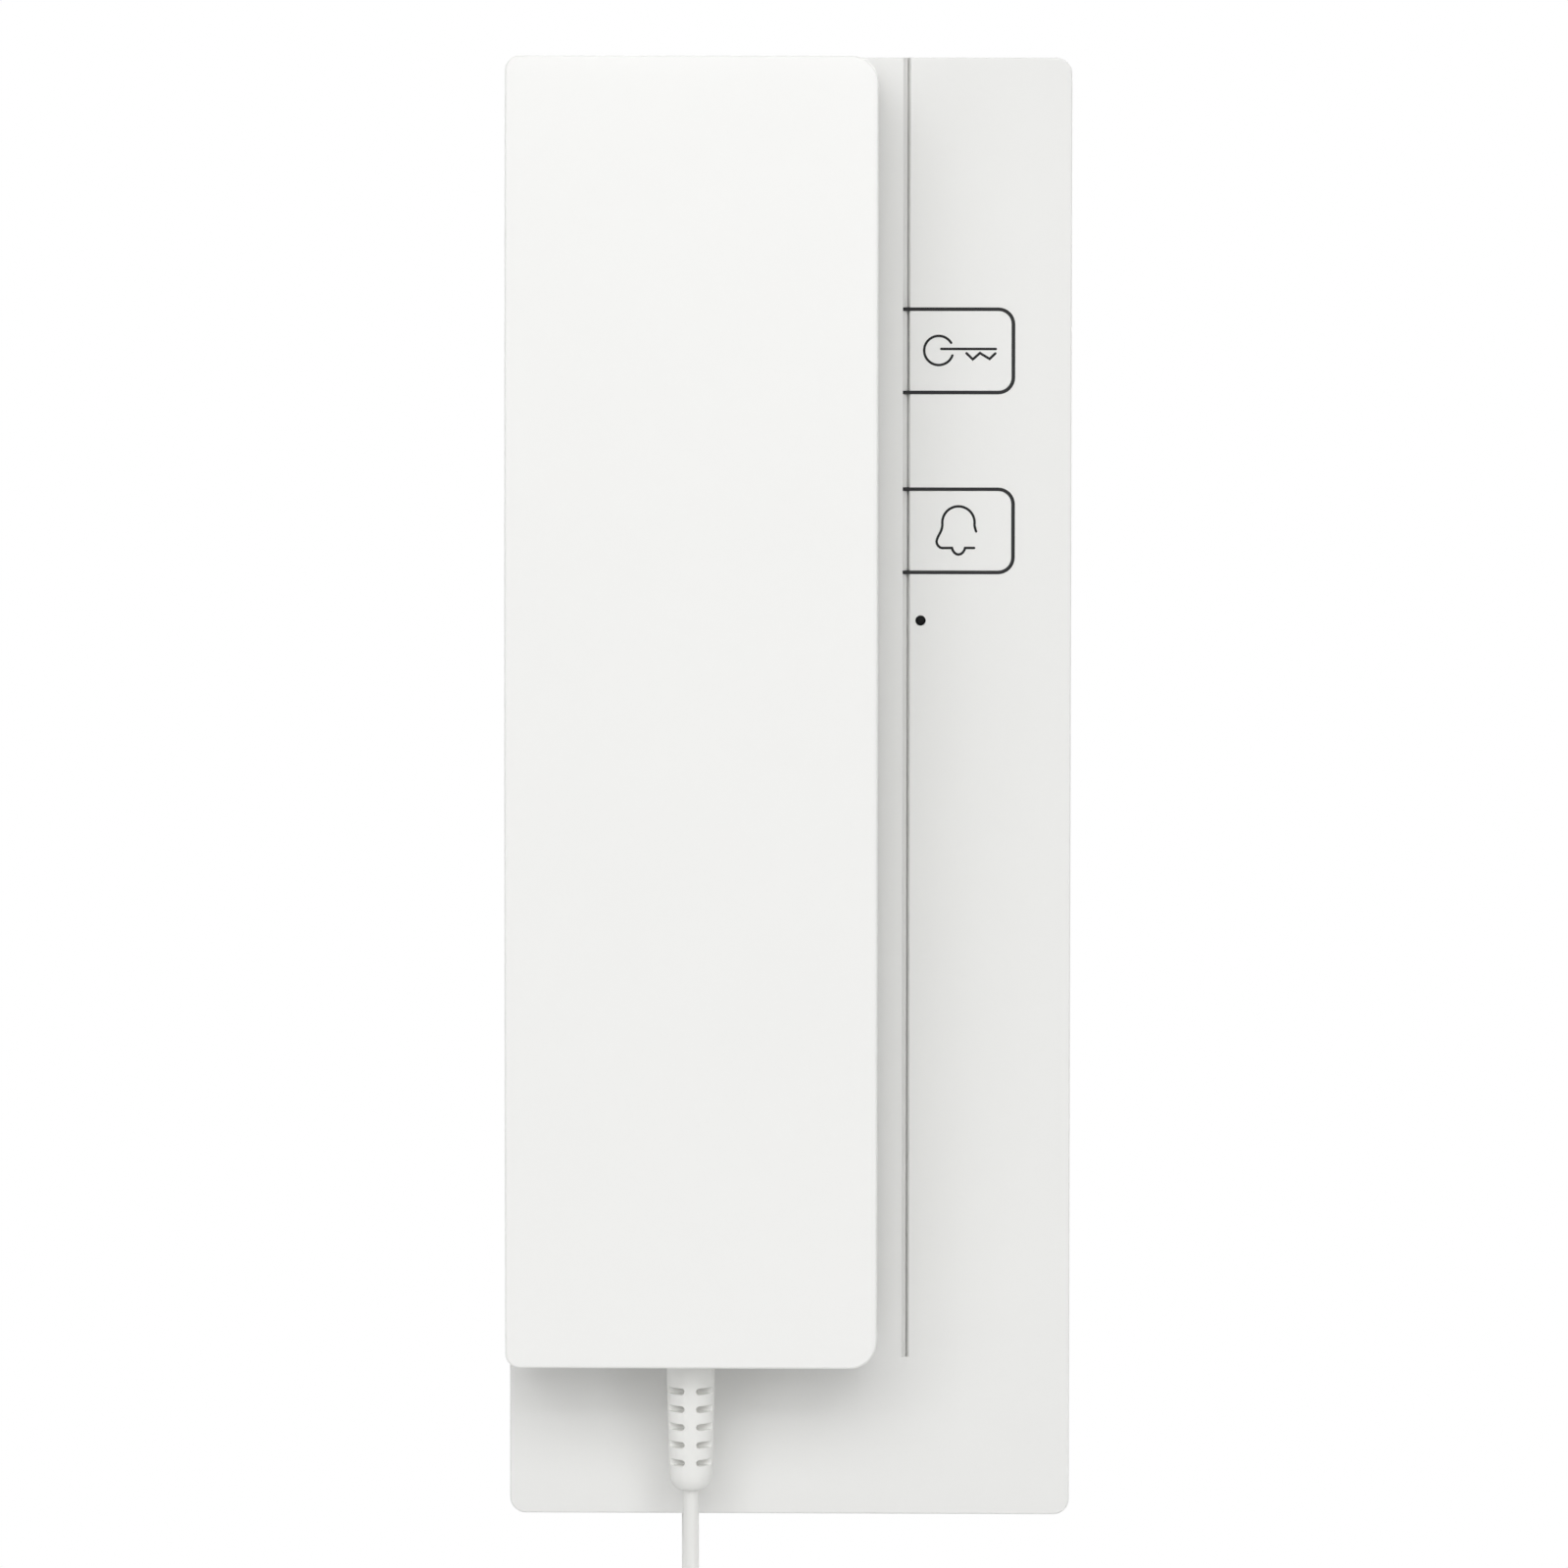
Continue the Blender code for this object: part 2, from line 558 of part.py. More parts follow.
def make_hook_switch():
    """The microswitch behind the plunger, its button, and the plunger's spring."""
    centre = (HANDSET_X, HOOK_Z)
    faces = [(HOOK_SWITCH_FRONT_Y, 0.0), (-PLATE_THICKNESS - GAP, 0.0)]
    finish = black("microswitch_black")
    body = slab_about("hook_switch", centre, HOOK_SWITCH_HALF, 0.0004, faces, finish, steps=1)
    cut(body, rod("pocket", *centre, 0.0015, (HOOK_SWITCH_FRONT_Y - OVER, -0.0060)))
    red = material("button_red", (0.45, 0.05, 0.04), 0.45)
    button = rod("hook_switch_button", *centre, 0.0012, HOOK_BUTTON_Y, red)
    set_origin(button, (HANDSET_X, HOOK_BUTTON_Y[0], HOOK_Z))
    low = HOOK_SWITCH_FRONT_Y - GAP - SPRING_WIRE / 2
    high = PLUNGER_FLANGE_Y[1] + GAP + SPRING_WIRE / 2
    points = 10
    route = []
    for i in range(SPRING_TURNS * points + 1):
        angle = 2 * math.pi * i / points
        y = low + (high - low) * i / (SPRING_TURNS * points)
        x = HANDSET_X + SPRING_RADIUS * math.cos(angle)
        route.append((x, y, HOOK_Z + SPRING_RADIUS * math.sin(angle)))
    tube("hook_spring", route, SPRING_WIRE, 1, steel("spring_steel"))


def make_socket_and_plug():
    """The socket in the foot of the base, and the handset cord's plug in it."""
    x_range = (JACK_X - JACK_HALF, JACK_X + JACK_HALF)
    grey = material("socket_grey", (0.16, 0.16, 0.17), 0.5)
    socket = block("cord_socket", x_range, (-0.0170, -0.0040), JACK_Z, grey)
    room = [size + 0.0004 for size in PLUG_HALF]
    room_x = (JACK_X - room[0], JACK_X + room[0])
    cut(socket, block("room", room_x, (JACK_Y - room[1], JACK_Y + room[1]), (JACK_Z[0] - OVER, -0.0890)))
    plug_x = (JACK_X - PLUG_HALF[0], JACK_X + PLUG_HALF[0])
    plug_y = (JACK_Y - PLUG_HALF[1], JACK_Y + PLUG_HALF[1])
    clear = material("plug_clear", (0.80, 0.82, 0.80), 0.15)
    plug = block("cord_plug", plug_x, plug_y, PLUG_Z, clear)
    contacts = []
    for lane in range(4):
        x = JACK_X + (lane - 1.5) * 0.00127
        contact_y = (plug_y[0] - OVER, plug_y[0] + 0.0008)
        contacts.append(block("contact", (x - 0.0003, x + 0.0003), contact_y, (-0.0965, PLUG_Z[1] + OVER)))
    cut(plug, *contacts)


def handset_slab(name, inset, sections, finish=None):
    """A slab with the handset's outline, drawn in by inset."""
    half = HANDSET_WIDTH / 2 - inset
    x_range = (HANDSET_X - half, HANDSET_X + half)
    z_range = (HANDSET_FOOT + inset, HANDSET_TOP - inset)
    left, right = HANDSET_LEFT_CORNER, HANDSET_RIGHT_CORNER
    radii = [max(radius - inset, 0.0005) for radius in (left, right, right, left)]
    return slab(name, x_range, z_range, radii, sections, finish)


def bowed_block(name, front_y, back_y, steps=10):
    """A block wider and longer than the handset, whose front bows out towards the handset's middle."""
    over = 0.010
    foot, top = HANDSET_FOOT - over, HANDSET_TOP + over
    middle = (HANDSET_FOOT + HANDSET_TOP) / 2
    profile = [(back_y, top), (back_y, foot)]
    for step in range(steps + 1):
        z = foot + (top - foot) * step / steps
        profile.append((front_y + HANDSET_CROWN * ((z - middle) / (HANDSET_LENGTH / 2)) ** 2, z))
    x_range = (-HALF_WIDTH - over, HALF_WIDTH)
    return solid(name, [[(x, y, z) for y, z in profile] for x in x_range])


def make_outer_shell():
    """The handset's front half, bowed along its length, with two screw bosses."""
    past_split = HANDSET_SPLIT_Y + OVER
    sides = [(HANDSET_SPLIT_Y, 0.0), (HANDSET_FRONT_Y - OVER, 0.0)]
    shell = handset_slab("handset_outer_shell", 0.0, sides, white("handset_front_abs"))
    combine(shell, bowed_block("front", HANDSET_FRONT_Y, past_split), "INTERSECT")
    bevel = shell.modifiers.new("Edges", "BEVEL")
    bevel.width = HANDSET_EDGE
    bevel.segments = 2
    bevel.limit_method = "ANGLE"
    bevel.angle_limit = math.radians(60)
    evaluate(shell)
    hollow = handset_slab("hollow", HANDSET_WALL, [(past_split, 0.0), (HANDSET_FRONT_Y, 0.0)])
    inner_front = bowed_block("inner_front", HANDSET_FRONT_Y + HANDSET_WALL, past_split + OVER)
    combine(hollow, inner_front, "INTERSECT")
    cut(shell, hollow)
    for z in HANDSET_SCREWS_Z:
        fuse(shell, rod("boss", HANDSET_X, z, 0.0036, (HANDSET_FRONT_Y + OVER, -0.0281), sides=16))
    cut(shell, *[rod("hole", HANDSET_X, z, SCREW_HOLE, (-0.0375, -0.0270)) for z in HANDSET_SCREWS_Z])
    cut(shell, relief_hole())


def make_inner_shell():
    """The handset's back half: rim, floor, ear and mouth pods, and screw seats."""
    rim_y = HANDSET_SPLIT_Y + GAP
    floor_y = HANDSET_BACK_Y - HANDSET_WALL
    rim = fillet_sections(rim_y, HANDSET_BACK_Y, 0.0015)
    shell = handset_slab("handset_inner_shell", GAP, rim, white("handset_back_abs"))
    cut(shell, handset_slab("hollow", HANDSET_WALL + GAP, [(rim_y - OVER, 0.0), (floor_y, 0.0)]))
    add_pod(shell, EAR_Z, EAR_POD, EAR_HOLES)
    add_pod(shell, MOUTH_Z, MOUTH_POD, MOUTH_HOLES)
    for z in HANDSET_SCREWS_Z:
        fuse(shell, rod("seat", HANDSET_X, z, 0.0048, (-0.0278, HANDSET_BACK_Y - 0.0005), sides=16))
    cut(shell, *[turned_y("sink", HANDSET_X, z, SCREW_SINK, sides=16) for z in HANDSET_SCREWS_Z])
    cut(shell, relief_hole())


def add_pod(shell, z, radii, holes):
    """A tapered cup on the shell's back that carries a capsule, with its sound holes."""
    root, tip = radii
    slope = (root - tip) / (POD_TIP_Y - HANDSET_BACK_Y)
    outer = [(HANDSET_BACK_Y - OVER, root), (POD_TIP_Y - POD_EDGE, tip), (POD_TIP_Y, tip - POD_EDGE)]
    fuse(shell, turned_y("pod", HANDSET_X, z, outer))
    inner_root_y = HANDSET_BACK_Y - HANDSET_WALL
    inner_tip_y = POD_TIP_Y - HANDSET_WALL
    root_radius = root + slope * HANDSET_WALL - HANDSET_WALL
    tip_radius = tip + slope * HANDSET_WALL - HANDSET_WALL
    inner = [(inner_root_y - OVER, root_radius), (inner_tip_y, tip_radius)]
    cut(shell, turned_y("hollow", HANDSET_X, z, inner))
    drill_y = (inner_tip_y - OVER, POD_TIP_Y + OVER)
    drills = []
    for ring, count in holes:
        for i in range(count):
            angle = 2 * math.pi * i / count
            x, hole_z = HANDSET_X + ring * math.cos(angle), z + ring * math.sin(angle)
            drills.append(rod("drill", x, hole_z, SOUND_HOLE, drill_y, sides=8))
    cut(shell, *drills)


def make_receiver():
    """The receiver capsule in the ear pod, and the foam ring behind it."""
    turned_y("receiver_capsule", HANDSET_X, EAR_Z, RECEIVER_PROFILE, black("receiver_black"))
    foam = material("foam_grey", (0.12, 0.12, 0.12), 0.9)
    outer, inner, (front, back) = FOAM_RING
    ring = rod("receiver_ring", HANDSET_X, EAR_Z, outer, (front, back), foam, ROUND_SIDES)
    cut(ring, rod("bore", HANDSET_X, EAR_Z, inner, (front - OVER, back + OVER), sides=ROUND_SIDES))


def make_microphone():
    """The microphone capsule in its rubber boot."""
    rubber = material("boot_rubber", (0.03, 0.03, 0.03), 0.8)
    boot = rod("microphone_boot", HANDSET_X, MOUTH_Z, *BOOT, rubber, ROUND_SIDES)
    cut(boot, rod("bore", HANDSET_X, MOUTH_Z, *BOOT_BORE, sides=ROUND_SIDES))
    can = material("microphone_aluminium", (0.75, 0.75, 0.76), 0.35, 1.0)
    rod("microphone_capsule", HANDSET_X, MOUTH_Z, *MICROPHONE, can, ROUND_SIDES)


def make_handset_weight():
    faces = [(y, 0.0) for y in WEIGHT_Y]
    slab_about("handset_weight", (HANDSET_X, WEIGHT_Z), WEIGHT_HALF, 0.002, faces, steel("weight_steel"))


def make_handset_screws():
    seat, tip = HANDSET_SCREW_SEAT_Y, HANDSET_SCREW_TIP_Y
    head_y = seat + SCREW_HEAD_HEIGHT
    profile = [(tip, SCREW_SHANK), (seat, SCREW_SHANK), (seat, SCREW_HEAD), (head_y, SCREW_HEAD)]
    for number, z in enumerate(HANDSET_SCREWS_Z, 1):
        turned_y(f"handset_screw_{number}", HANDSET_X, z, profile, steel("screw_steel"), SMALL_SIDES)


def relief_hole():
    """A cutter for the round hole, half in each shell, that the strain relief's neck passes through."""
    z_range = (HANDSET_FOOT - OVER, HANDSET_FOOT + 0.0035)
    return turned_z("relief_hole", CORD_X, HANDSET_SPLIT_Y, [(z, 0.0030) for z in z_range], sides=16)


def relief_point(down):
    """A point on the strain relief's axis, this far below the handset."""
    y = HANDSET_SPLIT_Y + down * math.sin(RELIEF_LEAN)
    return Vector((CORD_X, y, HANDSET_FOOT - down * math.cos(RELIEF_LEAN)))


def make_strain_relief():
    """A sleeve with rows of slots between four spines, leaning a little towards the wall."""
    end, shoulder = RELIEF_LENGTH, RELIEF_LENGTH - 0.0018
    profile = [(-0.0045, RELIEF_FLANGE), (-0.0025, RELIEF_FLANGE), (-0.0025, RELIEF_NECK), (GAP, RELIEF_NECK)]
    profile += [(GAP, RELIEF_TOP_RADIUS), (shoulder, RELIEF_END_RADIUS)]
    profile += [(end - 0.0007, RELIEF_END_RADIUS - 0.0005), (end, 0.0018)]
    down = relief_point(1.0) - relief_point(0.0)
    sleeve = turned("strain_relief", relief_point(0.0), down, profile, white("relief_pvc"))
    slots = []
    for row in range(RELIEF_ROWS):
        for side in (1, -1):
            for face in (1, -1):
                slots.append(relief_slot(RELIEF_FIRST_ROW + row * RELIEF_ROW_PITCH, side, face))
    cut(sleeve, *slots)


def relief_slot(top, side, face):
    """A sector cut between a narrow front or back spine and a wide side spine."""
    angles = [math.radians(value) for value in RELIEF_SLOT_SPAN]
    outer, inner = 0.0052, 0.0018
    across = [(outer * math.sin(angle), -outer * math.cos(angle)) for angle in angles]
    across += [(inner * math.sin(angle), -inner * math.cos(angle)) for angle in (angles[-1], angles[0])]
    lean = Matrix.Rotation(RELIEF_LEAN, 3, "X")
    loops = []
    for down in (top, top + RELIEF_SLOT):
        loops.append([relief_point(0.0) + lean @ Vector((x * side, y * face, -down)) for x, y in across])
    return solid("slot", loops)


def smooth_route(points, spacing):
    """Points at an even spacing along a smooth curve through the given ones."""
    given = np.array(points, float)
    ends = np.vstack([2 * given[0] - given[1], given, 2 * given[-1] - given[-2]])
    dense = []
    for i in range(1, len(ends) - 2):
        before, here, there, after = ends[i - 1 : i + 3]
        for t in np.linspace(0, 1, 60, endpoint=False):
            linear = there - before
            square = 2 * before - 5 * here + 4 * there - after
            cube = 3 * here - before - 3 * there + after
            dense.append(here + (linear * t + square * t**2 + cube * t**3) / 2)
    dense = np.array(dense + [given[-1]])
    along = np.concatenate([[0], np.cumsum(np.linalg.norm(np.diff(dense, axis=0), axis=1))])
    wanted = np.linspace(0, along[-1], max(2, round(along[-1] / spacing) + 1))
    return np.stack([np.interp(wanted, along, dense[:, k]) for k in range(3)], axis=1)


def tube(name, route, diameter, resolution, finish):
    """A round tube along the route, as a curve with filled caps."""
    curve = bpy.data.curves.new(name, "CURVE")
    curve.dimensions = "3D"
    curve.bevel_depth = diameter / 2
    curve.bevel_resolution = resolution
    curve.use_fill_caps = True
    spline = curve.splines.new("POLY")
    spline.points.add(len(route) - 1)
    for point, place in zip(spline.points, route):
        point.co = (*place, 1.0)
    new_object(name, curve, finish)


CURL_ROUTE = (
    (CORD_X, -0.0280, CURLS_TOP_Z),
    (CORD_X, -0.0298, -0.1370),
    (CORD_X, -0.0335, -0.1530),
    (CORD_X, -0.0368, -0.1680),
    (CORD_X, -0.0372, -0.1825),
    (CORD_X, -0.0325, -0.1955),
    (CORD_X, -0.0225, -0.2010),
    (CORD_X, -0.0125, -0.1955),
    (CORD_X, -0.0082, -0.1825),
    (JACK_X, -0.0082, -0.1680),
    (JACK_X, -0.0092, -0.1530),
    (JACK_X, -0.0104, -0.1370),
    (JACK_X, JACK_Y, CURLS_TOP_Z),
)


def curl_helix():
    """The curls' centreline: a helix round the route, opened where the route bends, with straight ends."""
    route = smooth_route(CURL_ROUTE, 0.0002)
    step = np.linalg.norm(np.diff(route, axis=0), axis=1).mean()
    tangent = np.gradient(route, axis=0)
    tangent /= np.linalg.norm(tangent, axis=1)[:, None]
    bend = np.linalg.norm(np.gradient(tangent, axis=0), axis=1) / step
    bend = np.convolve(np.pad(bend, 20, mode="edge"), np.ones(41) / 41, mode="valid")
    rate = 1 / np.maximum(CURL_PITCH, (CORD + CURL_GAP) / (1 - CURL_RADIUS * bend))
    lead = round(1.25 * CORD / step)
    rate[:lead] = 0
    rate[-lead:] = 0
    phase = np.cumsum(rate) * step
    turns = math.floor(phase[-1])
    phase *= turns / phase[-1]
    wanted = np.arange(1, turns * CURL_POINTS) / CURL_POINTS
    places = np.interp(wanted, phase[lead - 1 : -lead], np.arange(lead - 1, len(phase) - lead))
    sideways = np.array([1.0, 0.0, 0.0])
    points = [route[0], route[round(0.9 * lead)]]
    for turn, place in zip(wanted, places.astype(int)):
        outward = np.cross(sideways, tangent[place])
        grown = min(1.0, turn / 0.75, (turns - turn) / 0.75)
        radius = CURL_RADIUS * grown**2 * (3 - 2 * grown)
        angle = 2 * math.pi * turn
        points.append(route[place] + radius * (math.cos(angle) * outward + math.sin(angle) * sideways))
    points += [route[-1 - round(0.9 * lead)], route[-1]]
    return np.array(points), turns


def least_gap(points, diameter):
    """The least clear distance between stretches of one tube that aren't neighbours."""
    along = np.concatenate([[0], np.cumsum(np.linalg.norm(np.diff(points, axis=0), axis=1))])
    fine = np.linspace(0, along[-1], len(points) * 4)
    places = np.stack([np.interp(fine, along, points[:, k]) for k in range(3)], axis=1)
    least = math.inf
    for i, place in enumerate(places):
        others = places[fine > fine[i] + 4 * diameter]
        if len(others):
            least = min(least, np.linalg.norm(others - place, axis=1).min())
    return least - diameter


def make_cord():
    """Two straight tails and the curly stretch that hangs between them."""
    sheath = material("cord_pvc", (0.84, 0.84, 0.82), 0.4)
    curls_end = CURLS_TOP_Z + GAP
    top = [relief_point(RELIEF_LENGTH + GAP)]
    top += [(CORD_X, -0.0279, -0.1110), (CORD_X, -0.0278, -0.1180), (CORD_X, -0.0280, curls_end)]
    tube("cord_tail_handset", smooth_route(top, 2 * CORD), CORD, 2, sheath)
    curls, turns = curl_helix()
    tube("cord_curls", curls, CORD, 1, sheath)
    bottom = [(JACK_X, JACK_Y, z) for z in (curls_end, -0.1150, PLUG_Z[0] - GAP)]
    tube("cord_tail_base", smooth_route(bottom, 2 * CORD), CORD, 2, sheath)
    length = np.linalg.norm(np.diff(curls, axis=0), axis=1).sum()
    print(f"curls: {turns} turns, {length:.3f} m of cord, least gap {1000 * least_gap(curls, CORD):.2f} mm")


def shade(angle):
    """Smooth shading, with edges sharper than the angle kept sharp."""
    for obj in bpy.data.objects:
        if obj.type == "MESH":
            obj.data.shade_smooth()
            obj.data.set_sharp_from_angle(angle=angle)


def main():
    clear_scene()
    make_rear_housing()
    make_front_cover()
    make_cover_screw()
    make_board()
    make_terminal_block()
    make_call_sounder()
    make_hook_plunger()
    make_hook_switch()
    make_socket_and_plug()
    for name in KEY_Z:
        make_key(name)
    make_outer_shell()
    make_inner_shell()
    make_receiver()
    make_microphone()
    make_handset_weight()
    make_handset_screws()
    make_strain_relief()
    make_cord()
    shade(math.radians(30))


main()
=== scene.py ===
# %% [markdown]
# # Dressing a slim door-entry telephone
#
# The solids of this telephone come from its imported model: a flat base for the wall, two keys hinged
# in a groove, a handset that lifts off, and a curly cord. This lesson puts the looks round them.
# Solids whose shape is already right only get a finish. Those whose edges, slots or curves are
# coarser than the real moulding are stood in for by finer meshes of the same size.

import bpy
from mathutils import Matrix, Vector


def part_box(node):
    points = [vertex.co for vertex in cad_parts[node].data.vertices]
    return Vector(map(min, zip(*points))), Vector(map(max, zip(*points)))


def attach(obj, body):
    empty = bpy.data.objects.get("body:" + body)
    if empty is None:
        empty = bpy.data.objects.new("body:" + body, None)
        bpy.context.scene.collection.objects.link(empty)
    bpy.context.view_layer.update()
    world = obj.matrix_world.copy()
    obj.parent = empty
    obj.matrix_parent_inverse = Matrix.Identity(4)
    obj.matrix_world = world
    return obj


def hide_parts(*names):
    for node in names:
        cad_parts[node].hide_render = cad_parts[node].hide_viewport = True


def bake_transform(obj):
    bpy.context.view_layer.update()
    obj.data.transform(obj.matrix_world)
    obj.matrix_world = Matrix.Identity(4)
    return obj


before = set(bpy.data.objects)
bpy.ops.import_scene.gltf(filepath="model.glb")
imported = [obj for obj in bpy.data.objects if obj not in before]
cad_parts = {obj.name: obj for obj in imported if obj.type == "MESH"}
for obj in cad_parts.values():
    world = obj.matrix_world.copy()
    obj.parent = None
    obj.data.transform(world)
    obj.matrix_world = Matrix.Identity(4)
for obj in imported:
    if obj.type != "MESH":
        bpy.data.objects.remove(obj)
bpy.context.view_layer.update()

# %% Libraries
import math

import bmesh
import bpy
import numpy as np
from mathutils import Matrix, Quaternion, Vector

# %% [markdown]
# ## The camera
#
# A telephone as flat as this one is pictured from far away with a long lens, so that its sides stay
# parallel. The camera orbits a point on the panel: a degree towards the keys' side and three degrees
# above, which is just enough for the handset to hide a little of what lies under its foot. An orbit
# angle and a distance are easier to judge than a position, so the position is worked out from them.

# %% Camera
AIM = Vector((-0.00092, -0.01998, 0.00063))
AZIMUTH = math.radians(1.18)
ELEVATION = math.radians(3.15)
DISTANCE = 1.632
ROLL = math.radians(0.064)
LENS, SENSOR = 247.26, 36.0


def add_object(name, data):
    obj = bpy.data.objects.new(name, data)
    bpy.context.scene.collection.objects.link(obj)
    return obj


back = Vector((
    math.sin(AZIMUTH) * math.cos(ELEVATION),
    -math.cos(AZIMUTH) * math.cos(ELEVATION),
    math.sin(ELEVATION),
))
camera = add_object("camera", bpy.data.cameras.new("camera"))
camera.data.lens = LENS
camera.data.sensor_width = SENSOR
camera.location = AIM + back * DISTANCE
camera.rotation_mode = "QUATERNION"
camera.rotation_quaternion = (-back).to_track_quat("-Z", "Y") @ Quaternion((0, 0, 1), ROLL)
bpy.context.scene.camera = camera
bpy.context.scene.view_settings.view_transform = "Standard"
print(f"the picture is {1000 * DISTANCE * SENSOR / LENS:.0f} mm wide at the panel")

# %% [markdown]
# ## The cord's route
#
# The handset cord of such a telephone is a curly one: a soft lead wound on a mandrel and heated, so
# that it springs back into its curls. Two straight tails run into it. It leaves the handset through
# the strain relief, hangs in a loop below the base, and comes back up to a plug in the base's foot.
# A curve with a bevel would draw it, but the cord has to stretch when the handset is lifted, and
# bending works on meshes. So the route is computed as points, and a tube of rings is laid along it.

# %% Where the cord runs
CORD = 0.0024
CORD_X = -0.0147
JACK_X, JACK_Y = -0.0154, -0.0108
CURL_RADIUS = 0.0043
CURL_PITCH = 0.0031
CURL_GAP = 0.0006
CURL_POINTS = 18
CURLS_TOP_Z = -0.1245
TAIL_CLEAR = 0.0003
RELIEF_LENGTH = 0.0200
RELIEF_LEAN = math.radians(5)
HANDSET_FOOT_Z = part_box("handset_outer_shell")[0].z
SPLIT_Y = -0.030
PLUG_TOP_Z = -0.1040
CURL_ROUTE = (
    (CORD_X, -0.0280, CURLS_TOP_Z),
    (CORD_X, -0.0298, -0.1370),
    (CORD_X, -0.0335, -0.1530),
    (CORD_X, -0.0368, -0.1680),
    (CORD_X, -0.0372, -0.1825),
    (CORD_X, -0.0325, -0.1955),
    (CORD_X, -0.0225, -0.2010),
    (CORD_X, -0.0125, -0.1955),
    (CORD_X, -0.0082, -0.1825),
    (JACK_X, -0.0082, -0.1680),
    (JACK_X, -0.0092, -0.1530),
    (JACK_X, -0.0104, -0.1370),
    (JACK_X, JACK_Y, CURLS_TOP_Z),
)
SPLINE_STEPS = 60


def relief_point(down):
    """A point on the strain relief's axis, this far below the handset."""
    y = SPLIT_Y + down * math.sin(RELIEF_LEAN)
    return Vector((CORD_X, y, HANDSET_FOOT_Z - down * math.cos(RELIEF_LEAN)))


def smooth_route(points, spacing):
    """Points at an even spacing along a smooth curve through the given ones."""
    given = np.array(points, float)
    ends = np.vstack([2 * given[0] - given[1], given, 2 * given[-1] - given[-2]])
    dense = []
    for i in range(1, len(ends) - 2):
        before, here, there, after = ends[i - 1 : i + 3]
        for t in np.linspace(0, 1, SPLINE_STEPS, endpoint=False):
            linear = there - before
            square = 2 * before - 5 * here + 4 * there - after
            cube = 3 * here - before - 3 * there + after
            dense.append(here + (linear * t + square * t**2 + cube * t**3) / 2)
    dense = np.array(dense + [given[-1]])
    along = lengths_along(dense)
    wanted = np.linspace(0, along[-1], max(2, round(along[-1] / spacing) + 1))
    return np.stack([np.interp(wanted, along, dense[:, k]) for k in range(3)], axis=1)


def lengths_along(points):
    return np.concatenate([[0], np.cumsum(np.linalg.norm(np.diff(points, axis=0), axis=1))])


# %% [markdown]
# A curl is a turn of a helix whose axis is the route. Where the route bends sharply the curls on the
# inside would touch, so the turns open up there, as they do in the real cord when it hangs in a loop.
# The radius grows from nothing over the first and last three quarters of a turn.

# %% The curls
ROUTE_STEP = 0.0002
SMOOTHED_STEPS = 20
STRAIGHT_LEAD = 1.25 * CORD
GROWING_TURNS = 0.75


def curl_helix():
    route = smooth_route(CURL_ROUTE, ROUTE_STEP)
    step = np.linalg.norm(np.diff(route, axis=0), axis=1).mean()
    tangent = np.gradient(route, axis=0)
    tangent /= np.linalg.norm(tangent, axis=1)[:, None]
    bend = np.linalg.norm(np.gradient(tangent, axis=0), axis=1) / step
    window = 2 * SMOOTHED_STEPS + 1
    bend = np.convolve(np.pad(bend, SMOOTHED_STEPS, mode="edge"), np.ones(window) / window, mode="valid")
    rate = 1 / np.maximum(CURL_PITCH, (CORD + CURL_GAP) / (1 - CURL_RADIUS * bend))
    lead = round(STRAIGHT_LEAD / step)
    lead_point = round(0.9 * lead)
    rate[:lead] = 0
    rate[-lead:] = 0
    phase = np.cumsum(rate) * step
    turns = math.floor(phase[-1])
    phase *= turns / phase[-1]
    wanted = np.arange(1, turns * CURL_POINTS) / CURL_POINTS
    places = np.interp(wanted, phase[lead - 1 : -lead], np.arange(lead - 1, len(phase) - lead))
    sideways = np.array([1.0, 0.0, 0.0])
    points = [route[0], route[lead_point]]
    for turn, place in zip(wanted, places.astype(int)):
        outward = np.cross(sideways, tangent[place])
        grown = min(1.0, turn / GROWING_TURNS, (turns - turn) / GROWING_TURNS)
        radius = CURL_RADIUS * grown**2 * (3 - 2 * grown)
        angle = 2 * math.pi * turn
        points.append(route[place] + radius * (math.cos(angle) * outward + math.sin(angle) * sideways))
    points += [route[-1 - lead_point], route[-1]]
    return np.array(points), turns


top_tail = [relief_point(RELIEF_LENGTH + TAIL_CLEAR)]
top_tail += [(CORD_X, -0.0279, -0.1110), (CORD_X, -0.0278, -0.1180), (CORD_X, -0.0280, CURLS_TOP_Z)]
base_tail = [(JACK_X, JACK_Y, z) for z in (CURLS_TOP_Z, -0.1150, PLUG_TOP_Z - TAIL_CLEAR)]
curls, turns = curl_helix()
top_points = smooth_route(top_tail, CORD)
base_points = smooth_route(base_tail, CORD)
cord_path = np.vstack([top_points[:-1], curls, base_points[1:]])
cord_length = lengths_along(cord_path)[-1]
print(f"{turns} curls, {cord_length:.3f} m of cord, {len(cord_path)} points")

# %% [markdown]
# The tube gets its rings from frames carried along the path without twist, so no ring turns against
# the next and the faces between them stay even, however tightly the path curls.

# %% A tube of rings


